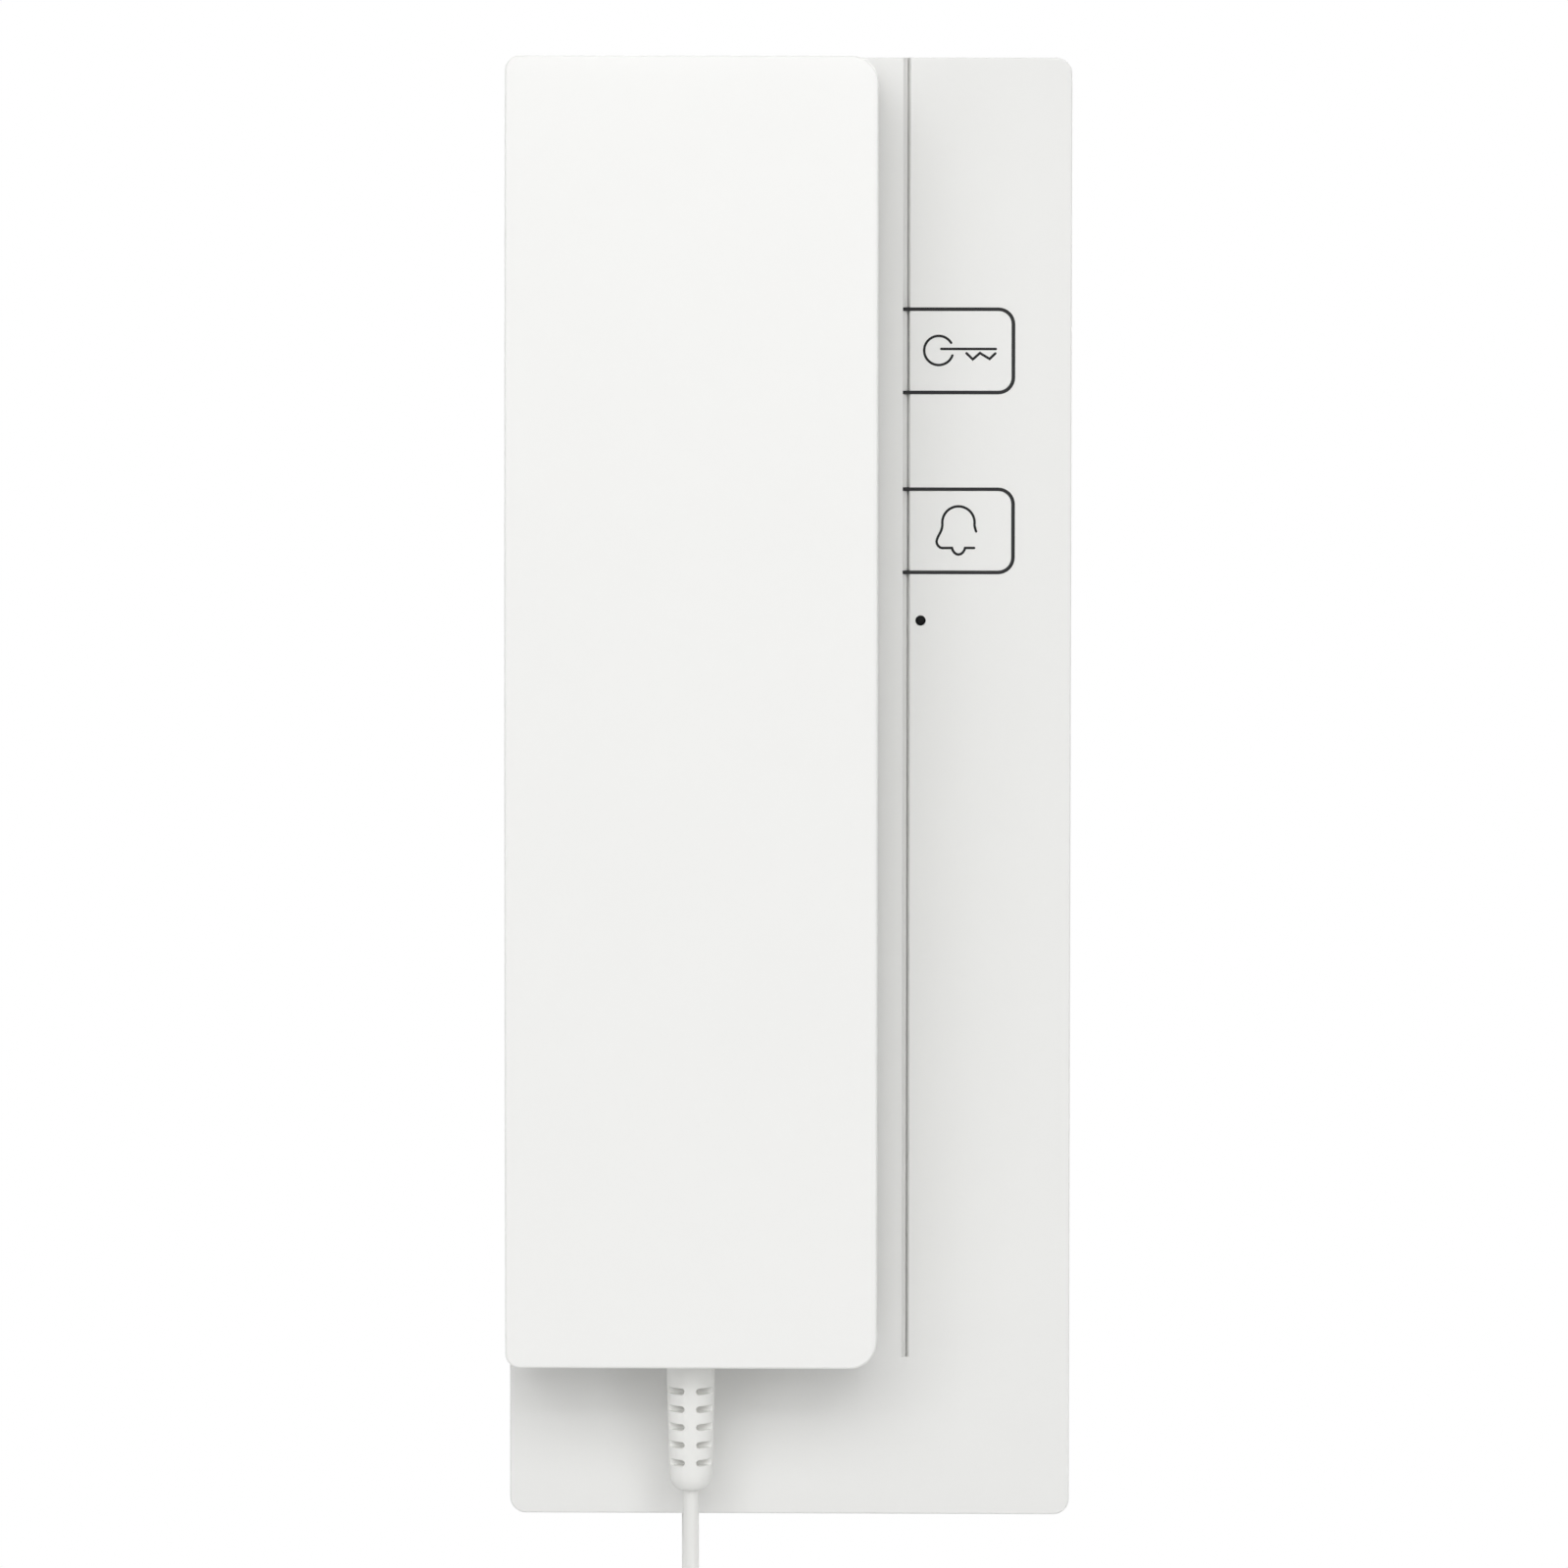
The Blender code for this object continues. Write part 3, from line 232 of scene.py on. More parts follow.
def tube_mesh(name, path, radius, sides):
    path = np.array(path, float)
    tangent = np.gradient(path, axis=0)
    tangent /= np.linalg.norm(tangent, axis=1)[:, None]
    across = np.cross(tangent[0], (1.0, 0.0, 0.0))
    rings = []
    for place, ahead in zip(path, tangent):
        across = across - ahead * (across @ ahead)
        across /= np.linalg.norm(across)
        aside = np.cross(ahead, across)
        for i in range(sides):
            angle = 2 * math.pi * i / sides
            rings.append(place + radius * (math.cos(angle) * across + math.sin(angle) * aside))
    faces = []
    for ring in range(len(path) - 1):
        for i in range(sides):
            j = (i + 1) % sides
            a, b = ring * sides, (ring + 1) * sides
            faces.append((a + i, a + j, b + j, b + i))
    faces.append(tuple(reversed(range(sides))))
    faces.append(tuple(range((len(path) - 1) * sides, len(path) * sides)))
    mesh = bpy.data.meshes.new(name)
    mesh.from_pydata(rings, [], faces)
    mesh.update()
    return add_object(name, mesh)


# %% [markdown]
# ## Node materials
#
# Every finish below is a small graph round one Principled shader. Colours are written as the hex
# values that a paint or plastics chart gives, and one function turns them into linear light. One
# other function adds a node: plain values go on its sockets, and another node's output is linked.

# %% Colours and nodes


def linear(code):
    """An sRGB hex colour as linear RGBA."""
    shares = [int(code[i : i + 2], 16) / 255 for i in (1, 3, 5)]
    return (*[v / 12.92 if v <= 0.04045 else ((v + 0.055) / 1.055) ** 2.4 for v in shares], 1.0)


def add(tree, kind, inputs=None, **settings):
    """Adds a node with its settings, its sockets' values and its links."""
    node = tree.nodes.new(kind)
    for name, value in settings.items():
        setattr(node, name, value)
    for name, value in (inputs or {}).items():
        if isinstance(value, bpy.types.NodeSocket):
            tree.links.new(value, node.inputs[name])
        else:
            node.inputs[name].default_value = value
    return node


def new_material(name, **sockets):
    """A material with these values on its Principled shader's sockets."""
    made = bpy.data.materials.new(name)
    made.use_nodes = True
    shader = made.node_tree.nodes["Principled BSDF"]
    for socket, value in sockets.items():
        shader.inputs[socket.replace("_", " ")].default_value = value
    made.diffuse_color = shader.inputs["Base Color"].default_value
    return made, made.node_tree, shader


def per_mm(size_mm):
    """A texture scale, in features per metre, from a feature's size in millimetres."""
    return 1000.0 / size_mm


print("white casing colour in linear light:", [round(v, 3) for v in linear("#F0F0EE")[:3]])

# %% [markdown]
# ## White ABS
#
# The casing, the handset and the keys are injection-moulded ABS. Spark erosion leaves the mould with
# a fine, even grain, so the plastic is satin: highlights are wide and soft, and edges stay crisp. The
# real grain is about 0.1 mm, too fine to show at this size, so it is drawn at 0.4 mm and very low. A
# flow pattern some centimetres wide changes gloss and tone by a hair, as melt flow does. The shader
# of ABS has an IOR of 1.53; the grain is a bump and the flow drives roughness and colour. The handset's
# white is drawn a shade lighter than the base's, so there are two of these materials.

# %% White ABS
ABS_GRAIN_MM, ABS_GRAIN_HEIGHT_MM = 0.4, 0.006
ABS_FLOW_MM = 24.0
SPECKLE_MM, SPECKLE_SHARE = 2.0, 0.35
SATIN_FINISH = (0.42, 0.05, ABS_GRAIN_MM, ABS_GRAIN_HEIGHT_MM)


def moulded_plastic(name, light, dark, roughness, spread, grain_mm, grain_height_mm, ior=1.53):
    """A moulded plastic: two close shades by flow, roughness by flow, and a grain as bump."""
    made, tree, shader = new_material(name, Base_Color=linear(light), IOR=ior)
    place = add(tree, "ShaderNodeTexCoord").outputs["Object"]
    flow = add(tree, "ShaderNodeTexNoise", {"Vector": place, "Scale": per_mm(ABS_FLOW_MM), "Detail": 4.0})
    shades = add(tree, "ShaderNodeMix", {"Factor": flow.outputs["Fac"]}, data_type="RGBA")
    shades.inputs["A"].default_value = linear(light)
    shades.inputs["B"].default_value = linear(dark)
    tree.links.new(shades.outputs["Result"], shader.inputs["Base Color"])
    speckle = add(tree, "ShaderNodeTexNoise", {"Vector": place, "Scale": per_mm(SPECKLE_MM), "Detail": 2.0})
    both = add(tree, "ShaderNodeMix",
               {"Factor": SPECKLE_SHARE, "A": flow.outputs["Fac"], "B": speckle.outputs["Fac"]})
    gloss = add(tree, "ShaderNodeMapRange", {"Value": both.outputs["Result"]})
    gloss.inputs["To Min"].default_value = roughness - spread
    gloss.inputs["To Max"].default_value = roughness + spread
    tree.links.new(gloss.outputs["Result"], shader.inputs["Roughness"])
    grain = add(tree, "ShaderNodeTexNoise", {"Vector": place, "Scale": per_mm(grain_mm), "Detail": 3.0})
    bump = add(tree, "ShaderNodeBump", {"Height": grain.outputs["Fac"], "Distance": grain_height_mm / 1000})
    tree.links.new(bump.outputs["Normal"], shader.inputs["Normal"])
    return made


handset_abs = moulded_plastic("satin_white_abs_handset", "#F2F2F0", "#F0F0EE", *SATIN_FINISH)
base_abs = moulded_plastic("satin_white_abs_base", "#E7E7E5", "#E5E5E3", *SATIN_FINISH)
print("ABS grain:", ABS_GRAIN_MM, "mm, flow:", ABS_FLOW_MM, "mm")

# %% [markdown]
# ## Other plastics and rubber
#
# The cord's sheath and the strain relief are soft PVC: the same white, but a touch warmer, smoother
# on the extruded cord and duller on the moulded relief. The socket, switches and capsules behind the
# casing are hard black or grey plastics with the same kind of grain. The foam ring is open-celled
# polyurethane. Its colour is darkest in the middle of each cell, a painted shade for the depth of its
# pores, and its bump comes from the same cells and not from noise.

# %% Other plastics
cord_pvc = moulded_plastic("extruded_white_pvc", "#E7E7E4", "#E3E3E0", 0.38, 0.06, 0.9, 0.008, ior=1.54)
relief_pvc = moulded_plastic("moulded_white_pvc", "#EBEBE8", "#E8E8E5", 0.5, 0.05, 0.5, 0.010, ior=1.54)
grey_pbt = moulded_plastic("grey_pbt", "#4A4B4D", "#434446", 0.45, 0.06, 0.5, 0.010, ior=1.55)
black_pbt = moulded_plastic("black_pbt", "#1B1B1C", "#161617", 0.42, 0.07, 0.5, 0.010, ior=1.55)
black_epoxy = moulded_plastic("black_moulding_epoxy", "#1D1D1E", "#252526", 0.6, 0.05, 0.3, 0.012, ior=1.55)
green_polyamide = moulded_plastic("green_polyamide", "#2E7D4A", "#2A7343", 0.45, 0.06, 0.5, 0.010)
light_grey_pom = moulded_plastic("light_grey_acetal", "#8F9092", "#88898B", 0.35, 0.05, 0.5, 0.006, ior=1.48)
red_pom = moulded_plastic("red_acetal", "#B5291F", "#A8251C", 0.35, 0.05, 0.5, 0.006, ior=1.48)
black_rubber = moulded_plastic("black_silicone_rubber", "#202021", "#1A1A1B", 0.7, 0.08, 0.6, 0.015, ior=1.41)


def open_cell_foam():
    """Grey foam: pores about 0.5 mm wide, with painted shade in their depth, and rough all over."""
    made, tree, shader = new_material("open_cell_foam", Roughness=0.95, IOR=1.4)
    place = add(tree, "ShaderNodeTexCoord").outputs["Object"]
    pores = add(tree, "ShaderNodeTexVoronoi", {"Vector": place, "Scale": per_mm(0.5)})
    # The colour is darkest at each cell's middle: painted shade for the depth of the pores.
    shades = add(tree, "ShaderNodeMix", {"Factor": pores.outputs["Distance"]}, data_type="RGBA")
    shades.inputs["A"].default_value = linear("#232324")
    shades.inputs["B"].default_value = linear("#5A5A5C")
    tree.links.new(shades.outputs["Result"], shader.inputs["Base Color"])
    bump = add(tree, "ShaderNodeBump", {"Height": pores.outputs["Distance"], "Distance": 0.0002})
    tree.links.new(bump.outputs["Normal"], shader.inputs["Normal"])
    return made


grey_foam = open_cell_foam()
print(len(bpy.data.materials), "materials so far, the packed ones among them")

# %% [markdown]
# ## Metals
#
# The screws are steel with a bright zinc plating, the spring is drawn steel wire, the weight in the
# handset is sawn from steel bar, and the microphone sits in a drawn aluminium can. All are metals in
# the shader's sense, with the default IOR. Plating is slightly mottled, and turned, drawn or sawn
# metal has fine tool lines, which a wave pattern draws as bands of roughness. That texture turns
# through 20 radians in each unit, so its bands come out about six times as wide as the lines named
# here: one to three millimetres, as real ones would be too fine to show.

# %% Metals
MOTTLE_MM, MOTTLE_SHARE = 0.8, 0.6
WAVE_RADIANS = 20


def metal(name, colour, roughness, spread, line_mm):
    """A metal with tool lines and a mottled gloss."""
    made, tree, shader = new_material(name, Base_Color=linear(colour), Metallic=1.0)
    place = add(tree, "ShaderNodeTexCoord").outputs["Object"]
    lines = add(tree, "ShaderNodeTexWave",
                {"Vector": place, "Scale": per_mm(line_mm) / WAVE_RADIANS, "Distortion": 1.5})
    mottle = add(tree, "ShaderNodeTexNoise", {"Vector": place, "Scale": per_mm(MOTTLE_MM), "Detail": 3.0})
    both = add(tree, "ShaderNodeMix",
               {"Factor": MOTTLE_SHARE, "A": lines.outputs["Fac"], "B": mottle.outputs["Fac"]})
    gloss = add(tree, "ShaderNodeMapRange", {"Value": both.outputs["Result"]})
    gloss.inputs["To Min"].default_value = roughness - spread
    gloss.inputs["To Max"].default_value = roughness + spread
    tree.links.new(gloss.outputs["Result"], shader.inputs["Roughness"])
    bump = add(tree, "ShaderNodeBump", {"Height": both.outputs["Result"], "Distance": 0.00001})
    tree.links.new(bump.outputs["Normal"], shader.inputs["Normal"])
    return made


zinc_plated_steel = metal("zinc_plated_steel", "#C9CACC", 0.28, 0.08, 0.3)
sawn_steel = metal("sawn_steel_bar", "#A9A8A6", 0.42, 0.10, 0.5)
spring_wire = metal("drawn_spring_wire", "#B9BABC", 0.25, 0.06, 0.2)
drawn_aluminium = metal("drawn_aluminium", "#D9DADB", 0.30, 0.08, 0.3)
gold_flash = metal("gold_flashed_contact", "#E2BE6A", 0.22, 0.06, 0.3)

# %% [markdown]
# ## The board, the capacitor, the lens and the clear plug
#
# The board is glass-filled epoxy under a green solder mask, with copper tracks that show as paler
# lines beneath it: a brick pattern about 2.5 mm wide stands for them. The capacitor's aluminium can
# wears a printed PVC sleeve with one pale stripe down its side. The lamp's lens is smoked, so it is
# black while the lamp is off, and the cord's plug is clear polycarbonate over gold contacts.

# %% Board, sleeve, lens and plug
TRACK_MM, TRACK_SHARE = 2.5, 0.09
CAPACITOR_X = 0.027
STRIPE_OFF, STRIPE_HALF = 0.0016, 0.0006


def solder_mask():
    made, tree, shader = new_material("green_solder_mask", Roughness=0.35, IOR=1.55)
    place = add(tree, "ShaderNodeTexCoord").outputs["Object"]
    upright = add(tree, "ShaderNodeMapping", {"Vector": place, "Rotation": (math.pi / 2, 0.0, 0.0)})
    tracks = add(tree, "ShaderNodeTexBrick", {"Vector": upright.outputs["Vector"], "Scale": per_mm(TRACK_MM)})
    tracks.inputs["Mortar Size"].default_value = TRACK_SHARE
    tracks.inputs["Color1"].default_value = linear("#12351F")
    tracks.inputs["Color2"].default_value = linear("#143A22")
    tracks.inputs["Mortar"].default_value = linear("#2B6A3F")
    tree.links.new(tracks.outputs["Color"], shader.inputs["Base Color"])
    bump = add(tree, "ShaderNodeBump", {"Height": tracks.outputs["Fac"], "Distance": 0.00003})
    tree.links.new(bump.outputs["Normal"], shader.inputs["Normal"])
    return made


def capacitor_sleeve():
    """Blue-black sleeve with a pale stripe on its side away from the wall."""
    made, tree, shader = new_material("printed_pvc_sleeve", Roughness=0.3, IOR=1.54)
    place = add(tree, "ShaderNodeTexCoord").outputs["Object"]
    apart = add(tree, "ShaderNodeSeparateXYZ", {"Vector": place})
    beside = add(tree, "ShaderNodeMath",
                 {0: apart.outputs["X"], 1: CAPACITOR_X + STRIPE_OFF, 2: STRIPE_HALF}, operation="COMPARE")
    shades = add(tree, "ShaderNodeMix", {"Factor": beside.outputs["Value"]}, data_type="RGBA")
    shades.inputs["A"].default_value = linear("#1D2440")
    shades.inputs["B"].default_value = linear("#B9BDC7")
    tree.links.new(shades.outputs["Result"], shader.inputs["Base Color"])
    return made


def smoked_lens():
    """Almost black, with the fine matt texture that keeps a lens from mirroring the room."""
    made, tree, shader = new_material("smoked_acrylic", Base_Color=linear("#070708"), IOR=1.49,
                                      Specular_IOR_Level=0.12)
    place = add(tree, "ShaderNodeTexCoord").outputs["Object"]
    uneven = add(tree, "ShaderNodeTexNoise", {"Vector": place, "Scale": per_mm(0.6)})
    gloss = add(tree, "ShaderNodeMapRange", {"Value": uneven.outputs["Fac"], "To Min": 0.42, "To Max": 0.5})
    tree.links.new(gloss.outputs["Result"], shader.inputs["Roughness"])
    return made


def clear_polycarbonate():
    """Water-clear, but moulded thick and a little cloudy, so half of it reads as pale plastic."""
    made, tree, shader = new_material("clear_polycarbonate", Base_Color=linear("#F2F4F3"), IOR=1.58,
                                      Transmission_Weight=0.55)
    place = add(tree, "ShaderNodeTexCoord").outputs["Object"]
    cloud = add(tree, "ShaderNodeTexNoise", {"Vector": place, "Scale": per_mm(1.5), "Detail": 2.0})
    gloss = add(tree, "ShaderNodeMapRange", {"Value": cloud.outputs["Fac"], "To Min": 0.08, "To Max": 0.2})
    tree.links.new(gloss.outputs["Result"], shader.inputs["Roughness"])
    return made


green_board = solder_mask()
sleeve = capacitor_sleeve()
dark_lens = smoked_lens()
clear_plug = clear_polycarbonate()
print("materials made:", ", ".join(sorted(m.name for m in bpy.data.materials if m.users == 0)))

# %% [markdown]
# ## Printing ink
#
# The two symbols are pad-printed in dark grey ink, a film some hundredths of a millimetre thick. Ink
# is duller than the plastic under it and never quite even, so its shade and roughness vary a little.

# %% Printing ink


def pad_print_ink():
    made, tree, shader = new_material("dark_grey_ink", IOR=1.5, Specular_IOR_Level=0.2)
    place = add(tree, "ShaderNodeTexCoord").outputs["Object"]
    uneven = add(tree, "ShaderNodeTexNoise", {"Vector": place, "Scale": per_mm(0.5), "Detail": 2.0})
    shades = add(tree, "ShaderNodeMix", {"Factor": uneven.outputs["Fac"]}, data_type="RGBA")
    shades.inputs["A"].default_value = linear("#151516")
    shades.inputs["B"].default_value = linear("#1F1F20")
    tree.links.new(shades.outputs["Result"], shader.inputs["Base Color"])
    gloss = add(tree, "ShaderNodeMapRange", {"Value": uneven.outputs["Fac"], "To Min": 0.5, "To Max": 0.7})
    tree.links.new(gloss.outputs["Result"], shader.inputs["Roughness"])
    return made


ink = pad_print_ink()
print("ink:", ink.name)

# %% [markdown]
# ## Mesh tools
#
# A moulded casing is mostly a flat shape with rounded corners that is drawn in towards its face, so
# nearly every piece here is a stack of outlines joined by faces. A modeller could bevel a box, but
# the stack gives exact radii. Round pieces are stacks of circles. Holes, slots and the groove are
# then cut with Booleans, and a Weighted Normal modifier keeps the flat faces flat where they run
# into small fillets.

# %% Stacks of outlines
GAP = 0.0003
OVER = 0.001
SHARPEST = 0.00005
UP, TO_WALL, TO_FRONT = (0, 0, 1), (0, 1, 0), (0, -1, 0)


def about(middle, half):
    return (middle - half, middle + half)


def quarter_turn(steps):
    return [math.pi / 2 * step / steps for step in range(steps + 1)]


def stack(name, loops, rungs=False):
    """A closed solid through loops with the same number of points, capped at both ends.

    The last cap is one face, or rungs from side to side where the loop is bowed."""
    body = bmesh.new()
    rings = [[body.verts.new(point) for point in loop] for loop in loops]
    count = len(rings[0])
    for lower, upper in zip(rings, rings[1:]):
        for i in range(count):
            j = (i + 1) % count
            body.faces.new((lower[i], lower[j], upper[j], upper[i]))
    body.faces.new(rings[0])
    last = rings[-1]
    if rungs:
        for i in range(count // 2 - 1):
            body.faces.new((last[i], last[i + 1], last[count - 2 - i], last[count - 1 - i]))
    else:
        body.faces.new(last)
    bmesh.ops.recalc_face_normals(body, faces=body.faces)
    mesh = bpy.data.meshes.new(name)
    body.to_mesh(mesh)
    body.free()
    return add_object(name, mesh)


def rounded_outline(x_range, z_range, radii, steps):
    """Points (x, z) round a rectangle. radii: lower left, lower right, upper right, upper left."""
    corners = ((0, 0, 180), (1, 0, 270), (1, 1, 0), (0, 1, 90))
    points = []
    for (right, up, start), radius in zip(corners, radii):
        x = x_range[right] + (-radius if right else radius)
        z = z_range[up] + (-radius if up else radius)
        for step in range(steps + 1):
            angle = math.radians(start + 90 * step / steps)
            points.append((x + radius * math.cos(angle), z + radius * math.sin(angle)))
    return points


def arc_points(centre, radius, start, end, steps):
    """Points (x, z) along an arc, with angles in degrees from +X."""
    angles = [math.radians(start + (end - start) * step / steps) for step in range(steps + 1)]
    return [(centre[0] + radius * math.cos(a), centre[1] + radius * math.sin(a)) for a in angles]


def slab(name, x_range, z_range, radii, sections, steps=8):
    """A stack along Y of rounded outlines. sections: (y, how far the outline is drawn in)."""
    loops = []
    for y, inset in sections:
        xs = (x_range[0] + inset, x_range[1] - inset)
        zs = (z_range[0] + inset, z_range[1] - inset)
        drawn_in = [max(radius - inset, SHARPEST) for radius in radii]
        loops.append([(x, y, z) for x, z in rounded_outline(xs, zs, drawn_in, steps)])
    return stack(name, loops)


def slab_about(name, centre, half, radius, sections, steps=8):
    return slab(name, about(centre[0], half[0]), about(centre[1], half[1]), [radius] * 4, sections, steps)


def block(name, x_range, y_range, z_range):
    """A cutter or a lug with square corners."""
    (x0, x1), (z0, z1) = x_range, z_range
    corners = ((x0, z0), (x1, z0), (x1, z1), (x0, z1))
    return stack(name, [[(x, y, z) for x, z in corners] for y in y_range])


def prism(name, corners, z_range):
    """A profile (x, y) drawn out along Z."""
    return stack(name, [[(x, y, z) for x, y in corners] for z in z_range])


def fillet(y_edge, y_face, radius, steps=6):
    """(y, inset) pairs from an edge along a wall and round a fillet that ends on a face."""
    outward = 1 if y_face > y_edge else -1
    return [(y_edge, 0.0)] + [
        (y_face - outward * radius * (1 - math.sin(a)), radius * (1 - math.cos(a)))
        for a in quarter_turn(steps)
    ]


# %% Turned shapes


def turned(name, centre, axis, profile, sides):
    """A solid of revolution. profile: (distance along the axis, radius) between two flat ends."""
    turn = Vector(axis).to_track_quat("Z", "Y").to_matrix()
    loops = []
    for along, radius in profile:
        angles = [2 * math.pi * i / sides for i in range(sides)]
        ring = [Vector((radius * math.cos(a), radius * math.sin(a), along)) for a in angles]
        loops.append([Vector(centre) + turn @ point for point in ring])
    return stack(name, loops)


def turned_y(name, x, z, profile, sides=48):
    return turned(name, (x, 0, z), TO_WALL, profile, sides)


def rod(name, x, z, radius, y_range, sides=24):
    return turned_y(name, x, z, [(y, radius) for y in y_range], sides)


def rounded_edge(y_face, radius, edge, inward, steps=5):
    """Profile points (y, radius) of a rounded outer edge that ends on a flat face."""
    return [
        (y_face + inward * edge * (1 - math.sin(a)), radius - edge * (1 - math.cos(a)))
        for a in quarter_turn(steps)
    ]


# %% Cutting, joining and shading
SHARP_ANGLE = math.radians(32)
FACE_WEIGHT = 100


def evaluate(obj):
    graph = bpy.context.evaluated_depsgraph_get()
    graph.update()
    obj.data = bpy.data.meshes.new_from_object(obj.evaluated_get(graph))
    obj.modifiers.clear()


def combine(target, other, operation):
    modifier = target.modifiers.new(operation.title(), "BOOLEAN")
    modifier.object = other
    modifier.operation = operation
    evaluate(target)
    bpy.data.objects.remove(other, do_unlink=True)


def cut(target, *cutters):
    """Cuts separate shapes, none of them overlapping another, away from the target."""
    together = bmesh.new()
    for cutter in cutters:
        together.from_mesh(cutter.data)
        bpy.data.objects.remove(cutter, do_unlink=True)
    mesh = bpy.data.meshes.new("cutter")
    together.to_mesh(mesh)
    together.free()
    combine(target, add_object("cutter", mesh), "DIFFERENCE")


def fuse(target, *others):
    for other in others:
        combine(target, other, "UNION")


def dress(obj, finish, body, stands_for):
    """Shades a piece, gives it its finish, and puts it on its body in place of its solids."""
    obj.data.materials.clear()
    obj.data.materials.append(finish)
    obj.data.shade_smooth()
    obj.data.set_sharp_from_angle(angle=SHARP_ANGLE)
    flat = obj.modifiers.new("flat faces stay flat", "WEIGHTED_NORMAL")
    flat.keep_sharp = True
    flat.weight = FACE_WEIGHT
    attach(obj, body)
    if stands_for:
        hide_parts(*stands_for)
    print(f"{obj.name}: {len(obj.data.polygons)} faces")
    return obj


# %% [markdown]
# ## The plug
#
# The cord ends in a small four-way modular plug: a clear body, four gold-flashed blades in slots at
# its nose, and a springy lever behind it. It sits deep in the base's foot, so a bevelled box does for
# the body, but the blades are separate pieces, since gold behind clear plastic is what the eye looks
# for in such a plug.

# %% Plug
PLUG_HALF, PLUG_Z = (0.0038, 0.0033), (-0.1040, -0.0925)
PLUG_EDGE = 0.0004
LANES, LANE_PITCH = 4, 0.00127
SLOT_HALF, SLOT_DEEP, SLOT_Z = 0.0003, 0.0008, (-0.0965, -0.0915)
BLADE_HALF, BLADE_DEEP, BLADE_Z = 0.00016, (0.00015, 0.0014), (-0.0962, -0.0927)
LEVER_HALF = 0.0015
LEVER = ((-0.0006, 0.0026), (0.0004, 0.0026), (0.0016, -0.0004), (0.0008, -0.0004))


def cord_plug():
    front, behind = about(JACK_Y, PLUG_HALF[1])
    body = block("modular_plug_body", about(JACK_X, PLUG_HALF[0]), (front, behind), PLUG_Z)
    bevel = body.modifiers.new("edges", "BEVEL")
    bevel.width = PLUG_EDGE
    bevel.segments = 3
    evaluate(body)
    lanes = [JACK_X + (lane - (LANES - 1) / 2) * LANE_PITCH for lane in range(LANES)]
    slot_y = (front - OVER, front + SLOT_DEEP)
    cut(body, *[block("slot", about(x, SLOT_HALF), slot_y, SLOT_Z) for x in lanes])
    lever = [(behind + back, PLUG_Z[0] + up) for back, up in LEVER]
    fuse(body, stack("lever", [[(x, y, z) for y, z in lever] for x in about(JACK_X, LEVER_HALF)]))
    pieces = [dress(body, clear_plug, "base", ["cord_plug"])]
    blade_y = [front + deep for deep in BLADE_DEEP]
    for lane, x in enumerate(lanes, 1):
        blade = block(f"modular_plug_blade_{lane}", about(x, BLADE_HALF), blade_y, BLADE_Z)
        pieces.append(dress(blade, gold_flash, "base", None))
    return pieces


plug_pieces = cord_plug()

# %% [markdown]
# ## The cord in its finish
#
# The whole lead is one tube: tail, curls and tail. It starts a little inside the strain relief and
# ends a little inside the plug, as the real one does. It crosses the joint between the handset and
# the base, so it is put on neither of them.

# %% The cord
CORD_SIDES = 18
INSIDE = 0.0012


in_relief, in_plug = relief_point(RELIEF_LENGTH - INSIDE), (JACK_X, JACK_Y, PLUG_TOP_Z + INSIDE)
cord_path = np.vstack([in_relief, cord_path, in_plug])
cord = tube_mesh("handset_cord", cord_path, CORD / 2, CORD_SIDES)
cord.data.materials.append(cord_pvc)
cord.data.shade_smooth()
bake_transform(cord)
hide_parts("cord_tail_handset", "cord_curls", "cord_tail_base")
print(f"cord: {len(cord.data.vertices)} points, lowest at {1000 * cord_path[:, 2].min():.0f} mm")

# %% [markdown]
# ## The strain relief
#
# A moulded sleeve keeps the cord from kinking at the handset. Rows of pockets let it bend. The mould
# opens to the front and to the back, so the pockets are straight pulls with flat floors: deep beside
# the spines at front and back, and running out where the round side curves down to their floor.
# Bending slots round the sleeve would give floors that follow it, and the shade in them would be
# wrong. Each cutter is an oblong, round at its inner end. The sleeve's end is drawn in to the cord by
# a long soft shoulder, and a flange inside the handset holds it.

# %% Strain relief
CORD_EXIT = relief_point(0.0)
RELIEF_TOP, RELIEF_END = 0.00365, 0.0033
RELIEF_NECK, RELIEF_FLANGE, FLANGE_UP = 0.0026, 0.0038, (0.0045, 0.0025)
RELIEF_EDGE = 0.0002
RELIEF_SHOULDER = (0.0028, 0.0015)
RELIEF_TIP = 0.0017
FOOT_LOWER = 0.00038
POCKET_ROWS = 5
POCKET_FIRST, POCKET_PITCH, POCKET_TALL = 0.00403, 0.00276, 0.00104
POCKET_INNER, POCKET_OUTER = 0.00086, 0.0050
POCKET_FLOOR, POCKET_OPEN = 0.00125, 0.0052


def relief_pocket(row, side, face):
    """A straight pull beside a spine, to the front or to the back."""
    half = POCKET_TALL / 2
    middle = POCKET_FIRST + row * POCKET_PITCH + half
    round_end = arc_points((POCKET_INNER + half, middle), half, 90, 270, 12)
    outline = [(POCKET_OUTER, middle + half), *round_end, (POCKET_OUTER, middle - half)]
    lean = Matrix.Rotation(RELIEF_LEAN, 3, "X")
    loops = []
    for front in (POCKET_FLOOR, POCKET_OPEN):
        ring = [Vector((side * x, -face * front, -down)) for x, down in outline]
        loops.append([CORD_EXIT + lean @ point for point in ring])
    return stack("pocket", loops)


